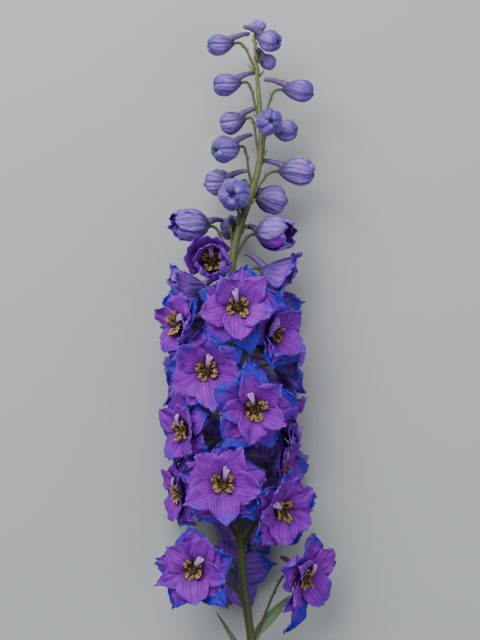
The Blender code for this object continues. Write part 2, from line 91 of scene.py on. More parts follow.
class Wire:
    # A node's output. Sums and products with it are Math nodes, and a name or number in
    # brackets gives another output of the same node.
    def __init__(self, socket):
        self.socket = socket

    def __getitem__(self, output):
        return Wire(self.socket.node.outputs[output])

    def into(self, kind, key, inputs={}, **fixed):
        return addNode(self.socket.id_data, kind, {key: self, **inputs}, **fixed)

    def apply(self, operation, other=0.0):
        return self.into("ShaderNodeMath", 0, {1: other}, operation=operation)

    def __add__(self, other):
        return self.apply("ADD", other)

    def __sub__(self, other):
        return self.apply("SUBTRACT", other)

    def __mul__(self, other):
        return self.apply("MULTIPLY", other)

    def ramp(self, fromMin, fromMax, toMin=0.0, toMax=1.0):
        return self.into("ShaderNodeMapRange", "Value", {
            "From Min": fromMin, "From Max": fromMax, "To Min": toMin, "To Max": toMax},
            interpolation_type="SMOOTHSTEP")["Result"]


def feed(socket, value):
    if isinstance(value, Wire):
        socket.id_data.links.new(value.socket, socket)
    else:
        socket.default_value = (*value, 1.0) if socket.type == "RGBA" else value


def addNode(tree, kind, inputs={}, **fixed):
    node = tree.nodes.new(kind)
    for name, value in fixed.items():
        setattr(node, name, value)
    for key, value in inputs.items():
        feed(node.inputs[key], value)
    return Wire(node.outputs[0])


def newTree(kind, name, inputs, outputs):
    # A socket is given by its default value, or by its kind where it has none
    tree = bpy.data.node_groups.new(name, kind + "NodeTree")
    for way, sockets in (("INPUT", inputs), ("OUTPUT", outputs)):
        for label, value in sockets.items():
            plain = {float: "Float", int: "Int"}.get(type(value))
            socket = tree.interface.new_socket(label, in_out=way,
                                               socket_type="NodeSocket" + (plain or value))
            if plain:
                socket.default_value = value
    given, out = tree.nodes.new("NodeGroupInput"), tree.nodes.new("NodeGroupOutput")
    return tree, Wire(given.outputs[0]), out.inputs


def noiseOf(place, scale, detail):
    return place.into("ShaderNodeTexNoise", "Vector", {"Scale": scale, "Detail": detail})


def objectPlace(tree):
    return addNode(tree, "ShaderNodeTexCoord")["Object"]


# Shader groups that several skins use

def buildVeins():
    # Fine lines that fan out from a petal's root, a net of small cells, and streaks along the
    # length: darker ones of the petal's own colour, pale ones a painted sheen
    tree, given, out = newTree("Shader", "petalVeins", {
        "UV": "Vector", "Lines": 9.0, "Waver": 0.5, "Net": 0.35},
        dict.fromkeys(("Veins", "Streaks", "Across", "Along"), "Float"))
    uv = given["UV"]
    apart = uv.into("ShaderNodeSeparateXYZ", 0)
    across, along = apart - 0.5, apart[1]
    shift = (noiseOf(uv, 5.0, 3.0) - 0.5) * given["Waver"]
    turns = (across + shift * 0.3) * given["Lines"] * tau
    main = turns.apply("COSINE").ramp(0.45, 1.0)
    fine = (turns * 2.63).apply("COSINE").ramp(0.6, 1.0, 0.0, 0.55) * along.ramp(0.2, 0.8)
    cells = uv.into("ShaderNodeTexVoronoi", "Vector", {"Scale": 13.0}, feature="DISTANCE_TO_EDGE")
    net = cells["Distance"].ramp(0.0, 0.09, 1.0, 0.0) * given["Net"]
    stretched = uv.into("ShaderNodeVectorMath", 0, {1: (21.0, 1.9, 1.0)}, operation="MULTIPLY")
    streakAndSheenPlace = objectPlace(tree).into("ShaderNodeVectorMath", 0, {1: (60.0,) * 3, 2: stretched},
                                  operation="MULTIPLY_ADD")
    feed(out["Veins"], main.apply("MAXIMUM", fine).apply("MAXIMUM", net))
    feed(out["Streaks"], noiseOf(streakAndSheenPlace, 1.0, 4.0).ramp(0.32, 0.68))
    feed(out["Across"], across.apply("ABSOLUTE") * 2.0)
    feed(out["Along"], along)
    return tree


def buildMottle():
    # Soft uneven patches, and the fine grain of a plant's skin
    tree, given, out = newTree("Shader", "skinMottle", {
        "Patch scale": 150.0, "Grain scale": 1800.0}, {"Patches": "Float", "Grain": "Float"})
    for scale, detail, result in (("Patch scale", 4.0, "Patches"), ("Grain scale", 2.0, "Grain")):
        feed(out[result], noiseOf(objectPlace(tree), given[scale], detail).ramp(0.3, 0.7))
    return tree


veinGroup = buildVeins()
mottleGroup = buildMottle()


def newSkin(name, specular=0.35):
    skin = bpy.data.materials.new(name)
    skin.use_nodes = True
    shader = skin.node_tree.nodes["Principled BSDF"].inputs
    feed(shader["Specular IOR Level"], specular)
    return skin, skin.node_tree, shader


def mottled(tree, patchScale, grainScale=1800.0):
    made = addNode(tree, "ShaderNodeGroup", {"Patch scale": patchScale, "Grain scale": grainScale},
                   node_tree=mottleGroup)
    return made["Patches"], made["Grain"]


def attribute(tree, name):
    return addNode(tree, "ShaderNodeAttribute", attribute_name=name)["Fac"]


def mixColour(share, first, second):
    return share.into("ShaderNodeMix", 0, {6: first, 7: second}, data_type="RGBA")[2]


def coat(shader, colour, rough, height=None, relief=0.0):
    # The relief is the height of the bumps in millimetres
    feed(shader["Base Color"], colour)
    feed(shader["Roughness"], rough)
    if height:
        feed(shader["Normal"], height.into("ShaderNodeBump", "Height", {
            "Strength": 0.5, "Distance": relief * mm}))


petalLook = {"blue": (0.02, 0.01, 0.01), "rootShare": 0.8, "veinShare": 0.42, "edgeShare": 0.25,
             "spot": (0.05, 0.07, 0.05), "spotShare": 0.0, "lines": 9.0, "waver": 0.5, "net": 0.3,
             "patchScale": 130.0, "roughness": 0.5, "relief": 0.18, "specular": 0.35}


def petalSkin(name, **look):
    # A petal's face: a flush that turns blue towards rim and tip, with darker fanning veins and a
    # darker root, which on the blooms' faces is painted shade of the throat over their own more
    # magenta base
    use = {**petalLook, **look}
    skin, tree, shader = newSkin(name, use["specular"])
    lines = addNode(tree, "ShaderNodeGroup", {
        "UV": addNode(tree, "ShaderNodeUVMap", uv_map="petalUV"), "Lines": use["lines"],
        "Waver": use["waver"], "Net": use["net"]}, node_tree=veinGroup)
    veins, across, along = lines["Veins"], lines["Across"], lines["Along"]
    patches, grain = mottled(tree, use["patchScale"])
    blueness = attribute(tree, "blueness")
    # The flush mixes patches, each petal's tone and the streaks, whose pale ones paint a sheen
    flush = patches * 0.3 + attribute(tree, "tone") * 0.25 + lines["Streaks"] * 0.45
    colour = mixColour(flush, use["deep"], use["pale"])
    outer = across.ramp(0.5, 1.0, 0.0, 0.65).apply("MAXIMUM", along.ramp(0.45, 1.0))
    wander = outer + (patches - 0.5) * 0.7 + (blueness - 0.5)
    rim = across.apply("MAXIMUM", along).ramp(0.86, 1.0)
    spot = along.ramp(0.84, 0.93) * across.ramp(0.1, 0.5, 1.0, 0.0)
    # The root tint: on the blooms' petal faces painted shade of the throat over their own more
    # magenta base; on buds and leaves their own green base
    for tint, share in (
            ("blue", wander.ramp(0.3, 0.95) * blueness.ramp(0.0, 0.35)),
            ("root", along.ramp(0.12, 0.6, 1.0, 0.0) * use["rootShare"]),
            ("vein", veins * use["veinShare"]), ("edge", rim * use["edgeShare"]),
            ("spot", spot * (blueness * use["spotShare"]))):
        colour = mixColour(share, colour, use[tint])
    coat(shader, colour, patches * 0.16 + veins * 0.08 + use["roughness"],
         veins * -0.8 + grain * 0.25, use["relief"])
    return skin


def plantSkin(name, **use):
    # Stem, stalk and spur: streaks along the length over uneven patches
    skin, tree, shader = newSkin(name)
    patches, grain = mottled(tree, use["patchScale"], use["grainScale"])
    place = objectPlace(tree).into("ShaderNodeMapping", "Vector", {"Scale": (1.0, 0.12, 1.0)})
    streak = noiseOf(place, use["streakScale"], 3.0).ramp(0.35, 0.65)
    colour = mixColour(attribute(tree, "tone"), use["deep"], use["pale"])
    colour = mixColour(streak * 0.45, colour, use["streak"])
    colour = mixColour(attribute(tree, "blueness") * (patches * 0.5 + 0.5), colour, use["blush"])
    coat(shader, colour, patches * 0.2 + use["roughness"], streak * 0.6 + grain * 0.4,
         use["relief"])
    return skin


def threadSkin(name, root, tip, scale, roughness):
    # Hairs and anthers: their colour only wanders from one to the next
    skin, tree, shader = newSkin(name)
    patches, grain = mottled(tree, scale)
    coat(shader, mixColour(patches, root, tip), grain * 0.2 + roughness)
    return skin


# The dark root colours of the inner and outer faces are painted shade of the throat over the petals'
# own more magenta base
innerFace = petalSkin(
    "innerPetalFace", deep=(0.045, 0.002, 0.18), pale=(0.32, 0.015, 0.54), blue=(0.085, 0.020, 0.50),
    root=(0.05, 0.002, 0.10), vein=(0.025, 0.001, 0.11), edge=(0.26, 0.05, 0.62), specular=0.15)
outerFace = petalSkin(
    "outerPetalFace", deep=(0.042, 0.002, 0.20), pale=(0.25, 0.015, 0.55), blue=(0.024, 0.012, 0.42),
    root=(0.04, 0.002, 0.10), rootShare=0.6, vein=(0.010, 0.001, 0.10), edge=(0.13, 0.06, 0.58),
    spot=(0.012, 0.035, 0.05), spotShare=0.8, specular=0.15)
petalBack = petalSkin(
    "petalBack", deep=(0.105, 0.020, 0.34), pale=(0.30, 0.080, 0.59), blue=(0.034, 0.022, 0.43),
    root=(0.035, 0.040, 0.09), rootShare=0.65, vein=(0.025, 0.016, 0.12), veinShare=0.6,
    edge=(0.12, 0.08, 0.60), spot=(0.035, 0.07, 0.05), spotShare=0.75, lines=6.0, waver=0.6,
    net=0.2, patchScale=110.0, relief=0.16, specular=0.25)
budFace = petalSkin(
    "budSepal", deep=(0.070, 0.022, 0.23), pale=(0.35, 0.20, 0.66), blue=(0.085, 0.070, 0.33),
    root=(0.024, 0.040, 0.038), rootShare=0.9, vein=(0.04, 0.012, 0.16), veinShare=0.7,
    edge=(0.14, 0.10, 0.52), edgeShare=0.5, spot=(0.05, 0.075, 0.035), spotShare=1.0, lines=4.0,
    waver=0.6, patchScale=230.0, roughness=0.48, relief=0.2)
tongueFace = petalSkin(
    "tonguePetal", deep=(0.17, 0.06, 0.32), pale=(0.42, 0.26, 0.50), blue=(0.4, 0.3, 0.7),
    root=(0.16, 0.05, 0.28), vein=(0.3, 0.14, 0.5), veinShare=0.3, edge=(0.62, 0.48, 0.62),
    edgeShare=0.35, lines=3.0, waver=0.4, net=0.2, patchScale=300.0, roughness=0.45, relief=0.06)
beeFace = petalSkin(
    "beePetal", deep=(0.006, 0.002, 0.003), pale=(0.026, 0.008, 0.006), root=(0.012, 0.005, 0.004),
    vein=(0.13, 0.065, 0.018), veinShare=0.25, edge=(0.30, 0.17, 0.06), edgeShare=0.3, lines=4.0,
    waver=1.2, net=0.6, patchScale=700.0, roughness=0.45, relief=0.1)
leafFace = petalSkin(
    "leafBlade", deep=(0.035, 0.065, 0.030), pale=(0.085, 0.135, 0.065), root=(0.08, 0.10, 0.04),
    rootShare=0.6, vein=(0.15, 0.20, 0.10), veinShare=0.4, edge=(0.11, 0.16, 0.07), edgeShare=0.4,
    lines=3.0, waver=0.2, net=0.4, patchScale=200.0, relief=0.12)
stemSkin = plantSkin(
    "stemSkin", deep=(0.022, 0.032, 0.008), pale=(0.17, 0.215, 0.055), streak=(0.055, 0.065, 0.018),
    blush=(0.050, 0.030, 0.030), patchScale=260.0, grainScale=2600.0, streakScale=900.0,
    roughness=0.45, relief=0.12)
spurSkin = plantSkin(
    "spurSkin", deep=(0.060, 0.030, 0.12), pale=(0.17, 0.095, 0.30), streak=(0.035, 0.02, 0.07),
    blush=(0.085, 0.065, 0.10), patchScale=400.0, grainScale=1500.0, streakScale=1400.0,
    roughness=0.5, relief=0.3)
beardSkin = threadSkin("beardHair", (0.40, 0.22, 0.05), (0.92, 0.70, 0.34), 900.0, 0.4)
antherSkin = threadSkin("anther", (0.010, 0.005, 0.005), (0.36, 0.21, 0.06), 500.0, 0.45)
downSkin = threadSkin("stemDown", (0.20, 0.22, 0.12), (0.45, 0.46, 0.32), 500.0, 0.5)
print("skins made")


# Mesh drafts: each piece is collected here, in the drawing's millimetres, before it is made

def turned(turn, out, up, across=0.0):
    return Vector((cos(turn) * out - sin(turn) * across, sin(turn) * out + cos(turn) * across, up))


class Draft:
    def __init__(self):
        self.points, self.faces = [], []

    def addPoint(self, place, tone, blue, uv=None):
        self.points.append((place, tone, blue, uv))
        return len(self.points) - 1

    def addFace(self, corners, slot, uvs=None):
        # Where no uv places are given, they are those of the points
        self.faces.append((corners, slot, uvs or [self.points[corner][3] for corner in corners]))

    def addBlade(self, grid, thickness, tone, blue=0.0, slots=(0, 0)):
        # A thin blade round the points of a grid, thinner towards its rim, closed all round
        grid = np.asarray(grid, float)
        last, end = grid.shape[0] - 1, grid.shape[1] - 1
        normal = np.cross(np.gradient(grid, axis=1), np.gradient(grid, axis=0))
        normal /= np.maximum(np.linalg.norm(normal, axis=2, keepdims=True), 1e-9)
        side, tip = np.abs(np.linspace(-1, 1, end + 1)), np.linspace(0, 1, last + 1)[:, None]
        edge = np.maximum(side ** 3, tip ** 4)[..., None]
        normal *= (thickness[0] + (thickness[1] - thickness[0]) * edge) / 2
        face, back = ([[self.addPoint(point, tone, blue, (j / end, i / last))
                        for j, point in enumerate(row)] for i, row in enumerate(layer)]
                      for layer in (grid + normal, grid - normal))
        for i in range(last):
            for j in range(end):
                ring = [(i, j), (i, j + 1), (i + 1, j + 1), (i + 1, j)]
                self.addFace([face[a][b] for a, b in ring], slots[0])
                self.addFace([back[a][b] for a, b in ring[::-1]], slots[1])
        border = [(0, j) for j in range(end)] + [(i, end) for i in range(last)]
        border += [(last, j) for j in range(end, 0, -1)] + [(i, 0) for i in range(last, 0, -1)]
        for (a, b), (c, d) in zip(border, border[1:] + border[:1]):
            self.addFace([face[c][d], face[a][b], back[a][b], back[c][d]], slots[1])

    def addRings(self, rings, ends, slot, tube):
        # Faces from ring to ring, and a fan to the point at each end. An egg's rings run the
        # other way round than a tube's.
        sides = len(rings[0])
        made = []
        for i, (low, high) in enumerate(zip(rings, rings[1:])):
            v = i / (len(rings) - 1)
            for k in range(sides):
                n, left, right = (k + 1) % sides, k / sides, k / sides + 1 / sides
                made.append(([low[n], low[k], high[k], high[n]],
                             [(right, v), (left, v), (left, v), (right, v)]))
        for ring, end, v, step in ((rings[0], ends[0], 0.0, 1), (rings[-1], ends[1], 1.0, -1)):
            for k in range(sides):
                pair = [ring[k], ring[(k + 1) % sides]]
                made.append((pair[::step] + [end], [(0.5, v)] * 3))
        for corners, uvs in made:
            self.addFace(corners if tube else corners[::-1], slot, uvs if tube else None)

    def addTube(self, path, radii, slot, sides=10, tone=0.5, blue=0.0, shape=None):
        # A round stalk along a path, closed by a low dome at each end
        up = Vector((0.123, 0.2, 1.0)).normalized()
        tones, blues = (value if isinstance(value, list) else [value] * len(path)
                        for value in (tone, blue))
        rings = []
        for number, (point, radius) in enumerate(zip(path, radii)):
            way = path[min(number + 1, len(path) - 1)] - path[max(number - 1, 0)]
            way.normalize()
            side = way.cross(up).normalized()
            up = side.cross(way).normalized()
            rings.append([])
            for turn in (tau * k / sides for k in range(sides)):
                wide = radius * (shape(turn, number) if shape else 1.0)
                rings[-1].append(self.addPoint(point + (side * cos(turn) + up * sin(turn)) * wide,
                                               tones[number], blues[number]))
        ends = [self.addPoint(path[end] + (path[end] - path[inner]).normalized() * radii[end] * 0.45,
                              tones[end], blues[end]) for end, inner in ((0, 1), (-1, -2))]
        self.addRings(rings, ends, slot, True)

    def addEgg(self, flower, seat, girth, height, tone, blue, around, levels, uv=0.5):
        # An egg that stands in the flower's frame
        def place(turn, out, up):
            return self.addPoint(flower @ (seat + turned(turn, out, up)), tone, blue, (0.5, uv))

        rings = [[place(tau * k / around, girth * sin(tilt), -height * cos(tilt))
                  for k in range(around)] for tilt in (pi * i / levels for i in range(1, levels))]
        self.addRings(rings, [place(0, 0, -height), place(0, 0, height)], 0, False)

    def make(self, name, skins):
        places, tones, blues, _ = zip(*self.points)
        faces, slots, uvs = zip(*self.faces)
        mesh = newMesh(name, places, faces)
        for skin in skins:
            mesh.materials.append(skin)
        mesh.polygons.foreach_set("material_index", slots)
        mesh.polygons.foreach_set("use_smooth", [True] * len(faces))
        mesh.uv_layers.new(name="petalUV").data.foreach_set(
            "uv", [value for face in uvs for pair in face for value in pair])
        for label, values in (("tone", tones), ("blueness", blues)):
            mesh.attributes.new(label, "FLOAT", "POINT").data.foreach_set("value", values)
        mesh.validate()
        return newObject(name, mesh)


def finishPiece(piece, slot, *nodes):
    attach(piece, "root")
    if nodes:
        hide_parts(*nodes)


# How the flowers are set on the stem, the same as in the solids

stemPath = [
    (9.6, 0.0, 2.5), (6.4, 34.0, 2.45), (3.4, 54.0, 2.4), (1.0, 74.0, 2.4), (-0.4, 100.0, 2.35),
    (-3.0, 132.0, 2.3), (-4.8, 174.0, 2.3), (-5.4, 216.0, 2.25), (-5.1, 250.0, 2.2),
    (-3.6, 267.0, 2.2), (-0.4, 277.0, 2.15), (7.0, 298.0, 2.0), (12.0, 315.0, 1.9),
    (13.2, 328.0, 1.75), (12.0, 348.0, 1.5), (10.4, 366.0, 1.25), (9.4, 380.0, 1.0),
    (8.6, 393.0, 0.8)]  # x, y and radius
tableHeight = -33.0
mouth = 7.5  # from the middle of a bloom's centre out to the middle of its mouth

# bloom_01 to bloom_25, and then the two buds that open: middle of the mouth, yaw, pitch, roll,
# petal length, form, inner petals, foot on the stem
blooms = [
    ((-9.6, 126.8, 30.0), -4, 2, 4, 26.5, "open", 5, 97),
    ((-0.9, 230.1, 32.0), 4, 2, -6, 25.0, "open", 5, 206),
    ((-19.8, 192.3, 27.0), -14, -2, 10, 25.0, "open", 5, 166),
    ((8.7, 170.4, 31.0), 16, -4, -8, 25.0, "open", 5, 145),
    ((-27.8, 75.7, 22.0), -14, 0, 6, 25.0, "open", 5, 53),
    ((26.3, 110.2, 22.0), 34, -8, -10, 24.5, "open", 5, 84),
    ((-16.0, 256.3, 27.0), -6, 4, 0, 24.0, "bowl", 4, 236),
    ((21.5, 214.0, 20.0), 46, 0, 8, 23.5, "cup", 4, 192),
    ((-38.4, 219.5, 14.0), -52, 2, 20, 22.0, "open", 4, 196),
    ((-35.4, 156.6, 16.0), -54, -4, 9, 23.0, "open", 4, 132),
    ((40.8, 68.1, 7.0), 50, -14, 0, 26.5, "open", 4, 30),
    ((-38.0, 117.5, 0.0), -66, -4, 5, 22.5, "open", 4, 90),
    ((29.5, 163.0, 0.0), 86, 0, -4, 22.5, "cup", 4, 137),
    ((21.0, 248.0, -4.0), 96, -26, 0, 24.0, "bell", 3, 230),
    ((-29.0, 239.0, -6.0), -100, -14, 6, 26.0, "bell", 3, 222),
    ((28.0, 195.0, -12.0), 106, 0, 5, 24.0, "cup", 4, 170),
    ((-33.0, 187.0, -13.0), -106, 0, -9, 24.0, "cup", 4, 164),
    ((-5.0, 67.0, -27.0), 180, -4, 7, 22.0, "open", 3, 42),
    ((3.0, 101.0, -28.0), 174, 0, 0, 23.0, "open", 3, 78),
    ((27.0, 135.0, 0.0), 70, 0, 9, 21.0, "cup", 4, 112),
    ((-21.0, 143.0, -25.0), 202, 0, -7, 24.0, "open", 3, 120),
    ((9.0, 173.0, -27.0), 170, 0, 4, 24.0, "open", 3, 150),
    ((-16.0, 208.0, -26.0), 200, 0, 0, 24.0, "open", 3, 184),
    ((16.0, 226.0, -26.0), 162, 4, 5, 23.0, "open", 3, 205),
    ((20.0, 128.0, -26.5), 158, 0, 9, 22.5, "open", 3, 102),
    ((-27.0, 279.0, 4.0), -64, 4, 0, 26.0, "opening", 0, 252),
    ((18.0, 273.5, 5.0), 60, 0, 0, 28.0, "opening", 0, 258)]
bloomNames = [f"bloom_{number:02}" for number in range(1, 26)] + ["bud_15", "bud_16"]

# bud_01 to bud_14: middle, yaw, pitch, length, width, foot on the stem
buds = [
    ((-10.8, 387.0, 2.0), -80, -8, 15.0, 12.0, 372),
    ((16.5, 389.0, 5.0), 55, -16, 14.5, 12.5, 377),
    ((15.8, 378.0, -3.5), 120, -18, 10.5, 9.0, 369),
    ((-6.8, 363.0, 3.0), -75, -10, 16.0, 13.0, 344),
    ((34.0, 359.4, 2.0), 80, -5, 17.5, 13.0, 340),
    ((-3.6, 341.4, -4.0), -105, -14, 14.5, 13.0, 322),
    ((16.8, 339.0, 12.0), 10, -5, 16.5, 15.5, 320),
    ((26.0, 336.4, -3.0), 66, -10, 15.0, 13.0, 317),
    ((-7.2, 324.0, 7.0), -52, -12, 17.0, 15.5, 303),
    ((33.0, 310.8, 4.0), 76, -2, 20.0, 16.5, 293),
    ((-11.4, 305.4, -8.0), -128, 0, 17.0, 15.5, 286),
    ((-3.0, 296.4, 13.0), -8, -8, 19.0, 18.5, 279),
    ((17.4, 295.2, -8.0), 124, -5, 19.0, 17.5, 276),
    ((-5.0, 278.0, -13.0), 178, 0, 16.0, 15.0, 262)]
tipBuds = [((8.2, 397.0, 0.2), -50, 60, 6.0, 5.0), ((12.2, 397.4, 0.8), 55, 50, 6.5, 5.4),
           ((10.2, 399.2, -2.0), 180, 65, 5.5, 4.8)]


def facingOf(yaw, pitch):
    yaw, pitch = radians(yaw), radians(pitch)
    return Vector((sin(yaw) * cos(pitch), sin(pitch), cos(yaw) * cos(pitch)))


def flowerFrame(place, yaw, pitch, roll=0.0, deep=0.0):
    facing = facingOf(yaw, pitch)
    up = (Vector((0, 1, 0)) - facing * facing.y).normalized()
    made = Matrix((up.cross(facing), up, facing)).transposed().to_4x4()
    made = Matrix.Translation(place) @ made @ Matrix.Translation((0, 0, -deep))
    return made @ Matrix.Rotation(radians(roll), 4, "Z")


def stemAt(y):
    for (x0, y0, r0), (x1, y1, r1) in zip(stemPath, stemPath[1:]):
        if y <= y1:
            break
    share = (y - y0) / (y1 - y0)
    return Vector((x0 + (x1 - x0) * share, y, 0)), r0 + (r1 - r0) * share


def pressed(point, half=0.35, softness=0.5):
    # A petal that would lie below the table is softly lifted on to it
    low = tableHeight + half
    height = (point.z - low) / softness
    if height < 30:
        point.z = low + softness * log1p(exp(height))
    return point


def bezier(a, b, c, d, steps):
    return [a * (1 - t) ** 3 + b * 3 * t * (1 - t) ** 2 + c * 3 * t * t * (1 - t) + d * t ** 3
            for t in (step / steps for step in range(steps + 1))]


def blended(values, share):
    place = share * (len(values) - 1)
    first = min(int(place), len(values) - 2)
    return values[first] + (values[first + 1] - values[first]) * (place - first)


def waver(seed, x, y=0.0, z=0.0):
    return noise.noise(Vector((x, y, z)) + Vector((seed * 7.31, seed * 3.17, seed * 1.73)))


def gridOf(rows, columns, place):
    # A blade's points: each row at a share of its length, each column from side -1 to side 1
    return [[place(i / rows, 2 * j / columns - 1) for j in range(columns + 1)]
            for i in range(rows + 1)]


# Petals

forms = {
    # outside and inside: angles from the flat at the root and at the tip; then how soon they
    # ease, the radius of the hollow, the share of the full width and of the bee's reach
    "open": ((54.0, 62.0), (4.0, 22.0), 3.2, 34.0, 1.0, 1.0),
    "cup": ((50.0, 58.0), (22.0, 36.0), 2.2, 27.0, 0.96, 0.78),
    "bell": ((46.0, 52.0), (40.0, 50.0), 1.4, 20.0, 0.88, 0.5),
    "bowl": ((18.0, 24.0), (100.0, 106.0), 1.0, 14.0, 0.76, 0.72),
    "opening": ((24.0, 30.0), (140.0, 140.0), 1.0, 10.5, 0.62, 0.0)}
solidPetals = {  # as the solids have them, with pairs for outside and inside
    "lengths": (1.0, 0.8), "widths": (0.78, 0.84), "hollows": (1.0, 0.85), "wave": 0.06,
    "angleSpread": 4.0, "tipSpread": 6.0, "sizeSpread": 0.05,
    "notch": 0.34, "rootOut": 2.0, "rootUp": (-1.2, 0.2), "claw": 0.16}
petalSettings = {
    "rows": 16, "columns": 12,  # faces along and across
    "thickness": (0.36, 0.16),  # at the root and at the rim
    "widen": (1.05, 1.10),  # over the solids' width, outside and inside
    "widenSpread": (0.92, 1.08),  # from petal to petal
    "grow": (1.0, 1.15),  # over the solids' length, outside and inside
    "growSpread": (0.93, 1.04),  # from petal to petal
    "close": {"bowl": 1.4, "opening": 1.12, "bell": 1.3, "cup": 1.08},  # more width
    "rear": 1.14,  # more breadth and length for the blooms at the back
    "overlap": 0.5,  # step from a petal to the one that lies over it
    "ruffle": 1.3,  # height of the waves of the rim, on a petal of the usual length
    "ruffleSpread": (0.6, 1.6),  # from petal to petal
    "usualLength": 24.0,
    "waves": (1.3, 2.6),  # how many of them run along a rim
    "crumple": 1.9,  # height of the broad dents
    "pleat": 0.42,  # height of the folds along a petal
    "pleats": (2, 3),  # how many of them lie side by side
    "ragged": 0.07,  # unevenness of the outline
    "turns": (12, 6),  # degrees of twist along the middle line, and of roll, at most
    "tipCurl": (-0.17, 0.13),  # how far the tip bends down or up, as a share of the length
    "tipLean": 0.10,  # how far it goes to a side at most, as a share of the width
    "fold": (-0.14, 0.2),  # slope of the two halves beside the middle line
    "blunt": ((0.22, 0.50), (0.32, 0.62)),  # share of the breadth that is left at the tip
    "closedBlunt": 0.7,  # the same in a closed flower
    "slender": (0.2, 0.3),  # share of the petals that are narrow and folded
    "slim": 0.76,  # breadth of such a petal
    "slimFold": 0.9,  # slope that its halves gain for the breadth that it lacks
    "calm": 0.35,  # share of the unevenness that a closed flower has
    "round": 0.13,  # how far the tip's corners stay back
    "cusps": ((0.11, 0.08, 0.05, 0.02), (0.09, 0.06, 0.03, -0.03))}  # a point or a notch there
bendTrials = [(lift, size) for size, lifts in (
    (1.0, (0, -12, 12, -24, 24)), (0.88, (0, -14, 14, -38, 38)), (0.82, (-26, 26, -52, 52)),
    (0.7, (0, -26, 26, -58, 58)), (0.56, (0, -40, 40, -70, 70)), (0.4, (0, -50, 50)))
    for lift in lifts]


def petalRings(place, size, form, inner):
    # The same petals as the solids have, from the same draws
    use = solidPetals
    roots, tips, ease, bowl, slim, bee = forms[form]
    draw = Random(int(place[0] * 10) * 1000 + int(place[1]))

    def stray(spread):
        return draw.uniform(-spread, spread)

    def petal(angle, inside):
        angle += stray(use["angleSpread"])
        length = size * use["lengths"][inside] * (1 + stray(use["sizeSpread"]))
        width = length * slim * use["widths"][inside] * (1 + stray(use["sizeSpread"]))
        tip = tips[inside] + stray(use["tipSpread"])
        wave = width * use["wave"] * bee * draw.choice((-1, 1)) * draw.uniform(0.6, 1.3)
        return {"angle": angle, "up": use["rootUp"][inside], "length": length, "width": width,
                "root": roots[inside], "tip": tip, "ease": ease,
                "bowl": bowl * use["hollows"][inside], "wave": wave}

    return [[petal(90 + 360 / count * (number + inside / 2), inside) for number in range(count)]
            for inside, count in enumerate((5, inner))]


def freeShare(share):
    return max(0.0, (share - solidPetals["notch"]) / (1 - solidPetals["notch"]))


def slopeAt(petal, bend, share):
    slope = petal["tip"] + (petal["root"] - petal["tip"]) * max(0.0, 1 - share) ** petal["ease"]
    return radians(slope + bend[0] * min(freeShare(share) * 1.6, 1.0))


def midLine(petal, bend, share, steps=16):
    out, up = solidPetals["rootOut"], petal["up"]
    for step in range(steps):
        at = (step + 0.5) / steps * share
        stride = petal["length"] * share / steps
        stride *= bend[1] if at > solidPetals["notch"] else 1.0
        slope = slopeAt(petal, bend, at)
        out += cos(slope) * stride
        up += sin(slope) * stride
    return out, up


def halfWidth(petal, bend, share, broadest, swell, taper):
    # A narrow claw that swells to the full breadth, tapers from there, and shrinks in a bend
    claw = solidPetals["claw"]
    wide = claw + (1 - claw) * sin(pi / 2 * min(share / broadest, 1.0)) ** swell
    wide *= taper(max(0.0, (share - broadest) / (1 - broadest)))
    return petal["width"] / 2 * wide * (1 - 0.5 * (1 - bend[1]) * freeShare(share))


def petalPlace(flower, petal, out, up, slope, across, lift):
    return pressed(flower @ turned(radians(petal["angle"]), out - sin(slope) * lift,
                                   up + cos(slope) * lift, across))


def solidPoint(flower, petal, bend, share, side):
    across = side * halfWidth(petal, bend, share, 0.5, 1.0, lambda past: (1 - past ** 2.4) ** 0.6)
    lift = across * across / (2 * petal["bowl"])
    lift += petal["wave"] * 2 * across / petal["width"] * sin(share * 8 + side)
    return petalPlace(flower, petal, *midLine(petal, bend, share), slopeAt(petal, bend, share),
                      across, lift)


def nodeTree(node):
    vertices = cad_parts[node].data.vertices
    tree = KDTree(len(vertices))
    for number, vertex in enumerate(vertices):
        tree.insert(vertex.co, number)
    tree.balance()
    return tree


def farFrom(tree, point):
    return tree.find(inWorld(point))[2] / mm


def solidBend(tree, flower, petal, inside):
    # The bend that the solid petal has, told by its own corners
    edge = 0.7 if inside else 0.86
    return min(bendTrials, key=lambda bend: sum(
        farFrom(tree, solidPoint(flower, petal, bend, *corner))
        for corner in ((1.0, 0), (edge, -1), (edge, 1))))


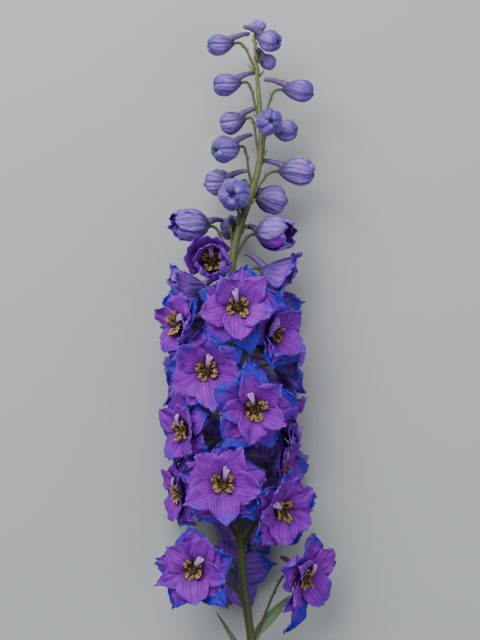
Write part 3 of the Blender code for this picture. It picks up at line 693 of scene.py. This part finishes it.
def petalGrid(flower, petal, bend, inside, level, form, rear, draw):
    use, pick = petalSettings, draw.uniform
    seed = pick(0, 50)
    closing = form in ("bowl", "opening")
    calm = use["calm"] if closing else 1.0
    ruffle = use["ruffle"] * pick(*use["ruffleSpread"]) * calm
    ruffle *= petal["length"] / use["usualLength"]
    waves = pick(*use["waves"])
    phases = [pick(0, tau) for _ in range(2)]
    twist, roll = (radians(pick(-most, most)) * calm for most in use["turns"])
    tipCurl = pick(*use["tipCurl"]) * petal["length"] * calm
    tipCurl = tipCurl if inside else min(tipCurl, 0.0)
    tipLean = pick(-use["tipLean"], use["tipLean"]) * petal["width"]
    fold = pick(*use["fold"])
    blunt = use["closedBlunt"] if closing else pick(*use["blunt"][inside])
    cusp = draw.choice(use["cusps"][inside]) * calm
    slender = use["slim"] if not closing and draw.random() < use["slender"][inside] else 1.0
    fold += use["slimFold"] * (1 - slender)
    pleats = draw.choice(use["pleats"])
    grow = use["grow"][inside] * pick(*use["growSpread"]) * rear
    widen = use["widen"][inside] * pick(*use["widenSpread"]) * rear
    widen *= use["close"].get(form, 1.0) * slender

    def place(part, side):
        share = part ** 0.9
        free = freeShare(share)
        frill = waver(seed, side * 4, share * 5) * free
        frill += 0.8 * waver(seed + 9, side * 10, share * 12) * free
        reach = share * (1 + (grow - 1) * free) + frill * use["ragged"]
        reach -= use["round"] * abs(side) ** 2.2 * share ** 3
        reach = max(reach + cusp * exp(-(side / 0.22) ** 2) * share ** 8, 0.0)
        uneven = waver(seed + 3, share * 6, side) * 1.4 + waver(seed + 4, share * 17, side) * 1.1
        across = halfWidth(petal, bend, share, 0.6, 0.9, lambda past: 1 - (1 - blunt) * past ** 2.2)
        across *= widen * side * (1 + uneven * use["ragged"] * free)
        lift = across * across / (2 * petal["bowl"]) + fold * abs(across) * free
        rim = ruffle * abs(side) ** 1.7 * free ** 0.8
        lift += rim * sin(tau * waves * share + phases[side > 0])
        lift += 1.5 * rim * waver(seed + 5, share * 9, side * 3, 1)
        lift += 0.6 * ruffle * share ** 4 * waver(seed + 7, side * 6, share * 3, 2)
        lift += use["crumple"] * free * waver(seed + 6, share * 4, side * 2.5)
        lift -= use["pleat"] * cos(pi * pleats * side) * (1 - abs(side)) * share
        lift += tipCurl * max(0.0, (share - 0.55) / 0.45) ** 2
        lift += across * tan(roll + twist * share) * min(1.0, share * 3)
        lift += (level + 1.5 * inside) * use["overlap"] * min(1.0, share * 4)
        return petalPlace(flower, petal, *midLine(petal, bend, reach),
                          slopeAt(petal, bend, min(reach, 1.0)), across + tipLean * share ** 3, lift)

    return gridOf(use["rows"], use["columns"], place)


# Stalks, spurs and leaves

stalkSettings = {"radii": (1.2, 0.78, 0.72, 0.78, 1.0), "steps": 16, "neck": 2.4,
                 "bractLength": (4.0, 8.0), "bractWidth": 1.3,
                 "scaleLength": (2.2, 3.6), "scaleWidth": 0.7}
stemSettings = {"rings": 150, "sides": 28, "ribs": 7, "ribHeight": 0.045, "smoothing": 4}
# foot on the stem, yaw, pitch, length, width
leaves = [(30.0, 104, 50, 38.0, 7.0), (8.0, -80, 62, 50.0, 3.4), (88.0, 66, 56, 20.0, 4.6)]


def leafGrid(foot, way, flat, length, width, droop, fold, rows, columns, seed):
    def place(share, side):
        wide = width / 2 * (0.3 + 0.7 * sin(pi * min(share * 0.9 + 0.05, 1.0)))
        wide = max(wide * max(1 - share ** 3, 0.0) ** 0.5, 0.08)
        across = wide * side * (1 + 0.08 * waver(seed, share * 6, side))
        up = fold * abs(across) + 0.2 * waver(seed, share * 5, side * 2, 3)
        middle = foot + way * length * share + Vector(droop) * length * share * share
        return middle + flat * across + Vector((0, 0, up))

    return gridOf(rows, columns, place)


def addBract(draft, foot, way, length, width, draw, fold=0.3):
    flat = way.cross(Vector((draw.uniform(-0.3, 0.3), 0.2, 1))).normalized()
    draft.addBlade(leafGrid(foot, way, flat, length, width, (0, 0.12, 0.05), fold, 7, 4,
                            draw.uniform(0, 9)), (0.4, 0.2), draw.uniform(0.2, 0.8))


def addStalk(draft, flower, back, nodeY, draw):
    # From inside the stem to just inside the flower's back, with a bract and two small scales
    use, pick = stalkSettings, draw.uniform
    facing = flower.col[2].xyz
    end = flower @ Vector((0, 0, -back + 0.4))
    foot, radius = stemAt(nodeY)
    reach = (end - foot).length
    outward = Vector((end.x - foot.x, 0, end.z - foot.z)).normalized()
    start = foot + outward * radius * 0.3
    first = start + (outward * 0.55 + Vector((0, 0.85, 0))) * reach * 0.35
    neck = end - facing * use["neck"]
    path = bezier(start, first, neck - facing * reach * 0.25, neck, use["steps"]) + [end]
    count = len(path) - 1
    draft.addTube(path, [blended(use["radii"], i / count) for i in range(count + 1)], 0,
                  tone=0.04 + 0.5 * max(0.0, nodeY / 400 - 0.35),
                  blue=[0.15 + 0.25 * i / count for i in range(count + 1)])
    way = outward * 0.8 + Vector((0, 0.75, 0)) + Vector((0, 0, pick(-0.2, 0.2)))
    addBract(draft, foot + outward * radius * 0.7 - Vector((0, 1.6, 0)), way.normalized(),
             pick(*use["bractLength"]), use["bractWidth"], draw)
    for place, hand in ((0.52, 1), (0.6, -1)):
        at, beyond = path[int(place * count):][:2]
        on = (beyond - at).normalized()
        side = on.cross(Vector((0, 0, 1))).normalized() * hand
        addBract(draft, at + side * 0.5, (on + side * 0.45).normalized(),
                 pick(*use["scaleLength"]), use["scaleWidth"], draw, 0.1)


def makeStem():
    use, draw, draft = stemSettings, Random(11), Draft()
    count, near = use["rings"], use["smoothing"]
    middles, radii = zip(*(stemAt(stemPath[-1][1] * i / count) for i in range(count + 1)))
    softened = [sum(middles[i - near:i + near + 1], Vector()) / (2 * near + 1)
                if near <= i <= count - near else middles[i] for i in range(count + 1)]

    def ribbed(turn, number):
        rib = use["ribHeight"] * cos(use["ribs"] * turn + number * 0.01)
        return 1.0 + rib + 0.03 * waver(2.0, cos(turn), number * 0.08, sin(turn))

    draft.addTube(softened, radii, 0, use["sides"],
                  [0.08 + 0.87 * (i / count) ** 1.8 for i in range(count + 1)],
                  [0.25 + 0.3 * waver(4.0, i * 0.09) for i in range(count + 1)], ribbed)
    for place, yaw, pitch, roll, *_, nodeY in blooms:
        addStalk(draft, flowerFrame(place, yaw, pitch, roll, mouth), 2.0, nodeY, draw)
    for place, yaw, pitch, length, _, nodeY in buds:
        addStalk(draft, flowerFrame(place, yaw, pitch), length / 2, nodeY, draw)
    for foot, yaw, pitch, length, width in leaves:
        way = facingOf(yaw, pitch)
        flat = way.cross(Vector((0, 0, 1))).normalized()
        draft.addBlade(leafGrid(stemAt(foot)[0], way, flat, length, width, (0, -0.10, -0.04), 0.25,
                                20, 10, foot), (0.7, 0.3), draw.uniform(0.3, 0.7), slots=(1, 1))
    start = Vector((*stemPath[-1][:2], 0)) - Vector((0, 2.0, 0))
    for place, yaw, pitch, length, _ in tipBuds:
        facing = facingOf(yaw, pitch)
        seat = Vector(place) - facing * length * 0.45
        neck = seat - facing * 1.2 - Vector((0, 1.0, 0))
        draft.addTube(bezier(start, start + Vector((0, 1.5, 0)), neck, seat, 6),
                      [0.75] * 6 + [0.6], 0, 8, 0.9, 0.2)
    piece = draft.make("greenStem", [stemSkin, leafFace])
    finishPiece(piece, "stem_green", "stem")
    return piece


stemPiece = makeStem()
print("stem made")

spurSettings = {"length": 15.0, "foot": (2.4, -0.8), "steps": 18, "sides": 12, "wrinkle": 0.10,
                "radii": (2.1, 1.8, 1.55, 1.4, 1.3, 1.2, 0.95), "solidRadii": (1.05, 0.6),
                "sizes": (1.0, 0.8, 0.6), "turns": (0, 14, -14, 28, -28, 42, -42, 58, -58, 74, -74)}


def spurPath(flower, foot, length, turn, steps):
    toWorld = flower.to_3x3()
    back = toWorld @ (Matrix.Rotation(radians(turn), 3, "Y") @ Vector((0, 0.3, -1)))
    up = toWorld @ Vector((0, 1, 0))
    start = flower @ Vector((0, *foot))
    back.normalize()
    return bezier(start, start + back * length * 0.4 + up * 0.6, start + back * length * 0.7,
                  start + back * length - up * 1.6, steps)


def solidSpur(tree, flower, foot, length):
    # The length and turn that the solid spur has
    trials = []
    for size in spurSettings["sizes"]:
        for turn in spurSettings["turns"]:
            points = spurPath(flower, foot, length * size, turn, 2)[1:]
            miss = sum(abs(farFrom(tree, point) - radius)
                       for point, radius in zip(points, spurSettings["solidRadii"]))
            trials.append((miss, size, turn))
    near = [trial for trial in trials if trial[0] < 0.25]
    return (near[0] if near else min(trials))[1:]


def addSpur(draft, tree, flower, foot, length, slot, draw, girth):
    use = spurSettings
    size, turn = solidSpur(tree, flower, foot, length)
    seed = draw.uniform(0, 40)
    path = [p + Vector((waver(seed, i * 0.5), waver(seed, 0, i * 0.5), waver(seed, 0, 0, i * 0.5)))
            * 0.25 for i, p in enumerate(spurPath(flower, foot, length * size, turn, use["steps"]))]
    shares = [i / use["steps"] for i in range(len(path))]

    def wrinkled(around, number):
        folds = sin(number * 1.9 + 2 * cos(around + number * 0.3))
        return 1.0 + use["wrinkle"] * (0.5 * folds + waver(seed, around, number * 0.6))

    draft.addTube(path, [blended(use["radii"], share) * girth for share in shares], slot,
                  use["sides"], draw.uniform(0.3, 0.9), [0.6 * share for share in shares],
                  wrinkled)


# Closed buds: five sepals that lap over each other and pucker at the tip

budSettings = {"rows": 20, "columns": 16, "thickness": (0.5, 0.3), "lap": 1.28, "puff": 0.24,
               "slim": 0.95, "pleat": 0.05, "tuck": 0.32, "twist": 0.5, "rise": 0.05,
               "tone": (0.0, 1.0), "blue": (0.2, 0.9),
               # the core and the knobs at the tip: shares of the bud's width and length
               "core": (0.38, 0.40), "knobOut": (0.17, 0.24), "knobGirth": (0.10, 0.15),
               "knobUp": (0.42, 0.47)}
budRadii = (0.12, 0.28, 0.50, 0.74, 0.93, 1.00, 0.96, 0.80, 0.53, 0.24)
budHeights = (-1.0, -0.90, -0.68, -0.40, -0.04, 0.28, 0.58, 0.84, 1.00, 0.95)
budSkins = [budFace, spurSkin, stemSkin]


def budGrid(flower, number, length, width, draw, use):
    seed = draw.uniform(0, 60)
    lean = draw.uniform(0.85, 1.15)

    def place(share, side):
        radius = blended(budRadii, share) * width * use["slim"] / 2
        turn = tau / 5 * (number + side / 2 * use["lap"]) + pi / 2
        puff = 1 + use["puff"] * (cos(side * pi / 2) - 0.45) * (0.3 + share)
        puff -= use["tuck"] * abs(side) ** 4 * (0.35 + 0.65 * share) * (1 if side < 0 else 0.3)
        puff -= use["pleat"] * exp(-(side / 0.16) ** 2) * sin(pi * share)
        puff += use["rise"] * side * (0.5 + share) + 0.07 * waver(seed, side * 2.5, share * 5)
        puff += 0.02 * waver(seed, side * 9, share * 3, 4)
        up = blended(budHeights, share) * length / 2
        up += max(0.0, share - 0.7) / 0.3 * (1 - side * side) * length * 0.07 * lean
        return flower @ turned(turn + use["twist"] * share * share * lean, radius * puff, up)

    return gridOf(use["rows"], use["columns"], place)


def addBud(draft, flower, length, width, draw, use=budSettings):
    # The sepals, a core that fills them, and the small knobs at the tip
    pick = draw.uniform
    for number in range(5):
        draft.addBlade(budGrid(flower, number, length, width, draw, use), use["thickness"],
                       pick(*use["tone"]), pick(*use["blue"]))
    girth, height = width * use["core"][0], length * use["core"][1]
    draft.addEgg(flower, Vector((0, 0, length * 0.02)), girth, height, 0.2, 0.4, 14, 9)
    for number in range(5):
        angle = tau / 5 * number + pi / 2 + use["twist"] + pick(-0.2, 0.2)
        out = width * pick(*use["knobOut"])
        knob = width * pick(*use["knobGirth"])
        seat = turned(angle, out, length * pick(*use["knobUp"]))
        draft.addEgg(flower, seat, knob, knob * 1.3, pick(0.6, 1.0), pick(0.3, 0.8), 8, 5,
                     draw.choice((0.7, 0.88, 0.92)))


def makeBuds():
    for number, (place, yaw, pitch, length, width, _) in enumerate(buds, 1):
        name = f"bud_{number:02}"
        draw, draft, flower = Random(name), Draft(), flowerFrame(place, yaw, pitch)
        addBud(draft, flower, length, width, draw)
        addSpur(draft, nodeTree(name), flower, (width * 0.2, -length * 0.34), length * 0.85, 1,
                draw, 1.12)
        seat, back = flower @ Vector((0, 0, -length / 2)), flower.col[2].xyz
        draft.addTube([seat + back * up for up in (-0.6, 0.3, 1.4)], [0.9, 1.3, 1.5], 2, 12,
                      0.3, 0.2)
        finishPiece(draft.make(f"closedBud{number:02}", budSkins), "bud_blue", name)
    draw, draft = Random("tip"), Draft()
    small = dict(budSettings, rows=12, columns=8, tone=(0.9, 1.3), blue=(0.0, 0.2))
    for place, yaw, pitch, length, width in tipBuds:
        addBud(draft, flowerFrame(place, yaw, pitch), length, width, draw, small)
    finishPiece(draft.make("tipBuds", budSkins), "bud_blue", "bud_tip")


makeBuds()
print("buds made")


# Blooms

bloomSettings = {
    "levels": {5: (2, 0, 2, 0, 1), 4: (1, 0, 1, 0), 3: (0, 1, 2)},  # which petal lies over which
    "blue": ((0.2, 0.95), (0.0, 0.42)),  # how blue the outer and the inner faces are
    "blueShare": {"bowl": 0.3, "opening": 0.4, "bell": 0.7},
    "doubled": {"open": 0.85, "cup": 0.7, "bell": 0.3, "bowl": 0.0, "opening": 1.0},
    "doubleSize": ((0.84, 0.94), (0.94, 1.02)),  # petals between the two rings, and their size
    # the bloom and the number of an outer petal: how much longer, how much slimmer, its turn
    "drawnOut": {("bloom_11", 2): (1.3, 0.75, 26.0), ("bloom_14", 2): (1.15, 0.8, 0.0),
                 ("bloom_12", 1): (1.15, 0.8, 0.0), ("bloom_05", 3): (1.12, 0.85, 0.0),
                 ("bloom_02", 3): (1.22, 0.95, -16.0), ("bloom_04", 0): (1.2, 0.95, 14.0)}}
bloomSkins = [outerFace, innerFace, petalBack, spurSkin, stemSkin, budFace]


def resized(petal, longer, wider, turn):
    return dict(petal, length=petal["length"] * longer, width=petal["width"] * wider,
                angle=petal["angle"] + turn)


def makeBloom(name, place, yaw, pitch, roll, size, form, inner, _):
    draw, draft, use = Random(name), Draft(), bloomSettings
    pick = draw.uniform
    flower, tree = flowerFrame(place, yaw, pitch, roll, mouth), nodeTree(name)
    opening = form == "opening"
    outerBack, innerBack = (5, 1) if opening else (2, 2)
    rear = petalSettings["rear"] if abs(yaw) > 150 else 1.0
    # A random shift of the bloom's tone; a bowl instead gets a lift to pale, painted light on steep
    # petals whose insides lie in shade
    toneShiftAndBowlLight = 0.8 if form == "bowl" else pick(-0.3, 0.3)

    def bladeOf(petal, bend, inside, level):
        return (petalGrid(flower, petal, bend, inside, level, form, rear, draw),
                petalSettings["thickness"])

    def shade():
        return min(max(pick(0.0, 1.0) + toneShiftAndBowlLight, 0), 1)

    for inside, ring in enumerate(petalRings(place, size, form, inner)):
        for number, petal in enumerate(ring):
            bend = solidBend(tree, flower, petal, inside)
            level = use["levels"][len(ring)][number]
            drawn = None if inside else use["drawnOut"].get((name, number))
            blade = bladeOf(resized(petal, *drawn) if drawn else petal, bend, inside, level)
            blue = pick(*use["blue"][inside]) * use["blueShare"].get(form, 1.0)
            # Blooms turned to the side are less blue: a lighter violet that paints light on backs
            # lying in shade, together with their own more violet colour
            blue *= 0.6 if abs(yaw) > 60 else 1.0
            draft.addBlade(*blade, shade(), 1.0 if drawn else blue,
                           (innerBack if inside else outerBack,
                            1 if inside or form == "bowl" else 0))
            if not inside and draw.random() < use["doubled"][form]:
                share = pick(*use["doubleSize"][opening])
                turn = pick(-14, 14) + (36 if opening else 0)
                draft.addBlade(*bladeOf(resized(petal, share, share, turn), bend, 0, level + 3),
                               shade(), pick(0.0, 0.3), (innerBack, 1))
    addSpur(draft, tree, flower, spurSettings["foot"], spurSettings["length"], 3, draw, 1.2)
    draft.addTube([flower.translation + flower.col[2].xyz * up for up in (-2.2, -1.2, 0, 1.6, 2.2)],
                  [1.3, 2.2, 2.6, 2.9, 2.4], 4, 16, 0.3, 0.3)
    finishPiece(draft.make("open" + name.title().replace("_", ""), bloomSkins),
                "bud_blue" if opening else "petal_violet", name)


for name, row in zip(bloomNames, blooms):
    makeBloom(name, *row)
print("blooms made")


# The small dark petals in each throat, with their tongues, hairs and stamens

beeSettings = {"rows": 12, "columns": 14, "lobes": 4, "thickness": (0.4, 0.22), "reach": 7.3,
               "foot": 1.0, "rise": (2.7, 7.4), "width": 3.7, "cleft": 0.34, "cup": 0.7,
               "ragged": 0.12, "curl": 2.2, "curlSpread": (-0.9, 1.1),
               "stretch": (0.84, 1.08), "tilt": (-0.8, 1.3),  # from lobe to lobe
               "stray": 15,  # degrees that a lobe or the tongues stand off their places at most
               "tongueWidth": 0.8, "tongueThickness": (0.35, 0.2),
               # stamens: their number, and how far out and up they stand
               "stamens": 18, "stamenOut": (0.5, 2.3), "stamenUp": (5.6, 7.4)}
tongueTurns = {"bloom_01": -12, "bloom_02": 14, "bloom_03": -18, "bloom_04": 22, "bloom_05": -38,
               "bloom_06": 60, "bloom_08": 10, "bloom_09": -60}  # degrees from the flower's top
tongueOuts = (1.6, 2.4, 4.2, 6.6, 8.8, 10.2)
tongueHeights = (3.6, 6.6, 8.9, 9.7, 9.4, 8.6)
beardGround = ([], [])
stamenSpots = []


def lobeGrid(flower, middle, reach, draw, use):
    # Two hollow halves side by side, their tips curled up or over
    pick = draw.uniform
    seed = pick(0, 70)
    stretch = pick(*use["stretch"])
    tilt = pick(*use["tilt"])
    lean = pick(-0.2, 0.2)
    curls = [pick(*use["curlSpread"]) * use["curl"] for _ in range(2)]
    low, high = use["rise"]

    def place(share, side):
        spread = 0.24 + 0.76 * sin(pi / 2 * min(share / 0.6, 1.0))
        spread *= (1 - max(0.0, (share - 0.55) / 0.45) ** 2.6 * 0.8) ** 0.5
        half = abs(abs(side) - 0.5) * 2
        length = share - use["cleft"] * exp(-(side / 0.22) ** 2) * share ** 3
        length -= 0.10 * half * half * share ** 2
        length += waver(seed, side * 5, share * 4) * use["ragged"] * share * 1.5
        out = use["foot"] + (reach * stretch - use["foot"]) * length
        across = use["width"] * reach / 7.6 * spread * side
        across *= 1 + waver(seed + 2, share * 8, side * 2) * use["ragged"]
        up = low + (high - low) * sin(pi / 2 * share) + tilt * share
        up += use["cup"] * half * half * share + 0.6 * waver(seed + 4, share * 4, side * 3) * share
        up += curls[side > 0] * max(0.0, (share - 0.6) / 0.4) ** 2 * min(abs(side) * 3, 1.0)
        return pressed(flower @ turned(middle + lean * share, out, up, across))

    return gridOf(use["rows"], use["columns"], place)


def tongueGrid(flower, turn, way, scale, draw, use):
    seed = draw.uniform(0, 30)
    stretch = draw.uniform(0.88, 1.05)

    def place(share, side):
        wide = use["tongueWidth"] * (1.25 - 0.5 * sin(pi * min(share * 1.1, 1.0)))
        wide *= (1 - 0.7 * max(0.0, (share - 0.8) / 0.2) ** 2) ** 0.5
        off = way * wide * (0.8 + 0.6 * share * share) + wide * side
        out = blended(tongueOuts, share) * stretch
        out += 0.5 * waver(seed, side * 2, share * 5) * share
        up = blended(tongueHeights, share) + 0.55 * wide * side * side - way * side * 0.35 * wide
        return flower @ turned(turn, off * scale, up, out * scale)

    return gridOf(10, 6, place)


def addBeardGround(grid):
    # The two hollows of a lobe and its tip, as loose ground for hairs
    spots, faces = beardGround
    rows, columns = len(grid) - 1, len(grid[0]) - 1
    for i in range(rows):
        for j in range(columns):
            share, side = (i + 0.5) / rows, abs(2 * (j + 0.5) / columns - 1)
            if share > 0.93 or hypot((share - 0.66) / 0.22, (side - 0.5) / 0.28) < 1:
                first = len(spots)
                spots += [grid[i][j], grid[i][j + 1], grid[i + 1][j + 1], grid[i + 1][j]]
                faces.append((first, first + 3, first + 2, first + 1))


def makeBee(name, place, yaw, pitch, roll, size, form, *_):
    use, draw, draft = beeSettings, Random("bee" + name), Draft()
    pick, stray, lobes = draw.uniform, use["stray"], use["lobes"]
    bee = forms[form][-1] * (1.25 if form == "bowl" else 1.0)
    flower = flowerFrame(place, yaw, pitch, roll, mouth)
    for number in range(lobes):
        middle = radians(360 / lobes * (number + 0.5) + pick(-stray, stray))
        grid = lobeGrid(flower, middle, use["reach"] * bee, draw, use)
        draft.addBlade(grid, use["thickness"], pick(0, 1))
        addBeardGround(grid)
    turn = radians(tongueTurns.get(name, pick(-stray, stray)) - roll)
    for way in (-1, 1):
        draft.addBlade(tongueGrid(flower, turn, way, 0.5 + 0.5 * bee, draw, use),
                       use["tongueThickness"], pick(0.2, 1), 0.1, (1, 1))
    seat = flower @ Vector((0, 0, 2.2))
    draft.addTube([seat + flower.col[2].xyz * up for up in (0, 1.0, 1.8)], [2.0, 1.7, 1.0], 0, 12,
                  0.0)
    first, rest = use["stamenOut"]
    for number in range(use["stamens"]):
        angle = number * 2.4  # the turn by which seeds fill a round head evenly
        out = first + rest * bee * sqrt(number / use["stamens"])
        stamenSpots.append((flower @ turned(angle, out, pick(*use["stamenUp"])),
                            (flower.to_3x3() @ turned(angle, 0.4, 1)).normalized()))
    node = name.replace("bloom", "bee")
    finishPiece(draft.make("darkPetals" + name[-2:], [beeFace, tongueFace]), "bee_brown",
                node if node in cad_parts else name)


for name, row in zip(bloomNames, blooms):
    if row[5] != "opening":
        makeBee(name, *row)
print("dark petals made")


# Hairs and anthers, which Geometry Nodes repeat

def endTree(tree, given, out, points, thing, rotation, sizes, **seed):
    # A thing at each point, turned and sized, and all of it made real
    size = addNode(tree, "FunctionNodeRandomValue", {"Min": sizes[0], "Max": sizes[1], **seed},
                   data_type="FLOAT")
    made = points.into("GeometryNodeInstanceOnPoints", "Points", {
        "Instance": thing, "Rotation": rotation, "Scale": size["Value"]})
    made = made.into("GeometryNodeRealizeInstances", 0)
    made = made.into("GeometryNodeSetShadeSmooth", "Geometry")
    feed(out[0], made.into("GeometryNodeSetMaterial", "Geometry", {"Material": given["Skin"]}))
    return tree


def hairTree():
    tree, given, out = newTree("Geometry", "plantHairs", {
        "Ground": "Geometry", "Hairs per square metre": 1e6, "Length": 0.001, "Girth": 0.0001,
        "Lean": 0.5, "Seed": 1, "Skin": "Material"}, {"Grown": "Geometry"})
    lean, seed = given["Lean"], given["Seed"]
    scatter = given["Ground"].into("GeometryNodeDistributePointsOnFaces", "Mesh", {
        "Density": given["Hairs per square metre"], "Seed": seed}, distribute_method="RANDOM")
    hair = given["Length"].into("GeometryNodeMeshCone", "Depth", {
        "Vertices": 3, "Radius Top": 0.0, "Radius Bottom": given["Girth"]}, fill_type="NGON")
    tilt = lean.into("FunctionNodeRandomValue", "Max", {"Min": lean * -1.0, "Seed": seed},
                     data_type="FLOAT_VECTOR")
    turn = scatter["Rotation"].into("FunctionNodeRotateRotation", 0, {1: tilt["Value"]},
                                    rotation_space="LOCAL")
    return endTree(tree, given, out, scatter, hair, turn, (0.55, 1.15))


def antherTree():
    # An egg on a thread, which lean as the points' facing says
    tree, given, out = newTree("Geometry", "anthers", {
        "Ground": "Geometry", "Length": 0.001, "Girth": 0.0005, "Seed": 1, "Skin": "Material"},
        {"Grown": "Geometry"})
    length, girth = given["Length"], given["Girth"]
    head = addNode(tree, "GeometryNodeMeshUVSphere", {"Segments": 8, "Rings": 5, "Radius": 1.0})
    thread = addNode(tree, "GeometryNodeMeshCone", {
        "Vertices": 5, "Radius Top": girth * 0.25, "Radius Bottom": girth * 0.35,
        "Depth": length * 5.0}, fill_type="NGON")
    whole = addNode(tree, "GeometryNodeJoinGeometry")
    for part, change, parts in (
            (head, "Scale", {0: girth, 1: girth * 0.7, 2: length}),
            (thread, "Translation", {2: length * -5.0})):
        feed(whole.socket.node.inputs[0], part.into("GeometryNodeTransform", "Geometry", {
            change: addNode(tree, "ShaderNodeCombineXYZ", parts)}))
    way = addNode(tree, "GeometryNodeInputNamedAttribute", {"Name": "facing"},
                  data_type="FLOAT_VECTOR")["Attribute"]
    align = way.into("FunctionNodeAlignRotationToVector", "Vector", axis="Z")
    return endTree(tree, given, out, given["Ground"], whole, align, (0.7, 1.2),
                   Seed=given["Seed"])


def grow(name, ground, tree, values):
    # Runs a tree on its ground and keeps the plain mesh that comes out
    seedbed = newObject(name + "Ground", ground)
    modifier = seedbed.modifiers.new("grow", "NODES")
    modifier.node_group = tree
    for item in tree.interface.items_tree:
        if item.name in values:
            modifier[item.identifier] = values[item.name]
    graph = bpy.context.evaluated_depsgraph_get()
    mesh = bpy.data.meshes.new_from_object(seedbed.evaluated_get(graph))
    mesh.materials.clear()
    mesh.materials.append(values["Skin"])
    mesh.polygons.foreach_set("material_index", [0] * len(mesh.polygons))
    bpy.data.objects.remove(seedbed)
    print(name, len(mesh.polygons), "faces")
    return newObject(name, mesh)


beardSettings = {"Hairs per square metre": 13e6, "Length": 1.3 * mm, "Girth": 0.13 * mm,
                 "Lean": 0.7, "Seed": 5, "Skin": beardSkin}
downSettings = {"Hairs per square metre": 0.5e6, "Length": 0.7 * mm, "Girth": 0.05 * mm,
                "Lean": 0.5, "Seed": 8, "Skin": downSkin}
antherSettings = {"Length": 0.60 * mm, "Girth": 0.44 * mm, "Seed": 3, "Skin": antherSkin}


def makeHairs():
    hairs = hairTree()
    points = newMesh("anthers", [spot for spot, _ in stamenSpots], [])
    facing = points.attributes.new("facing", "FLOAT_VECTOR", "POINT")
    facing.data.foreach_set("vector", [value for _, way in stamenSpots for value in way])
    finishPiece(grow("beards", newMesh("beards", *beardGround), hairs, beardSettings), "bee_brown")
    finishPiece(grow("stemDown", stemPiece.data.copy(), hairs, downSettings), "stem_green")
    finishPiece(grow("anthers", points, antherTree(), antherSettings), "bee_brown")


makeHairs()


# Floor and light

roomSettings = {"reach": 3.0, "floor": (0.345, 0.365, 0.368), "sky": (0.93, 0.96, 1.0),
                "skyStrength": 0.36, "keyLamp": (33.0, 1.1, (-0.4, 0.85, 0.95)),
                "fillLamp": (6.5, 1.4, (0.8, -0.3, 0.9))}  # lamps: power, size and place


def makeRoom(use):
    mesh = bpy.data.meshes.new("floor")
    ends = (-use["reach"], use["reach"])
    mesh.from_pydata([(x, y, 0) for y in ends for x in ends], [], [(0, 1, 3, 2)])
    skin, _, shader = newSkin("paleFloor", 0.1)
    coat(shader, use["floor"], 0.9)
    mesh.materials.append(skin)
    floor = newObject("floor", mesh)
    world = bpy.data.worlds.new("softRoom")
    world.use_nodes = True
    sky = world.node_tree.nodes["Background"].inputs
    feed(sky["Color"], use["sky"])
    feed(sky["Strength"], use["skyStrength"])
    bpy.context.scene.world = world
    for name in ("keyLamp", "fillLamp"):
        data = bpy.data.lights.new(name, "AREA")
        data.energy, data.size, place = use[name]
        lamp = newObject(name, data)
        lamp.location = place
        lamp.rotation_euler = (-Vector(place)).to_track_quat("-Z", "Y").to_euler()


makeRoom(roomSettings)
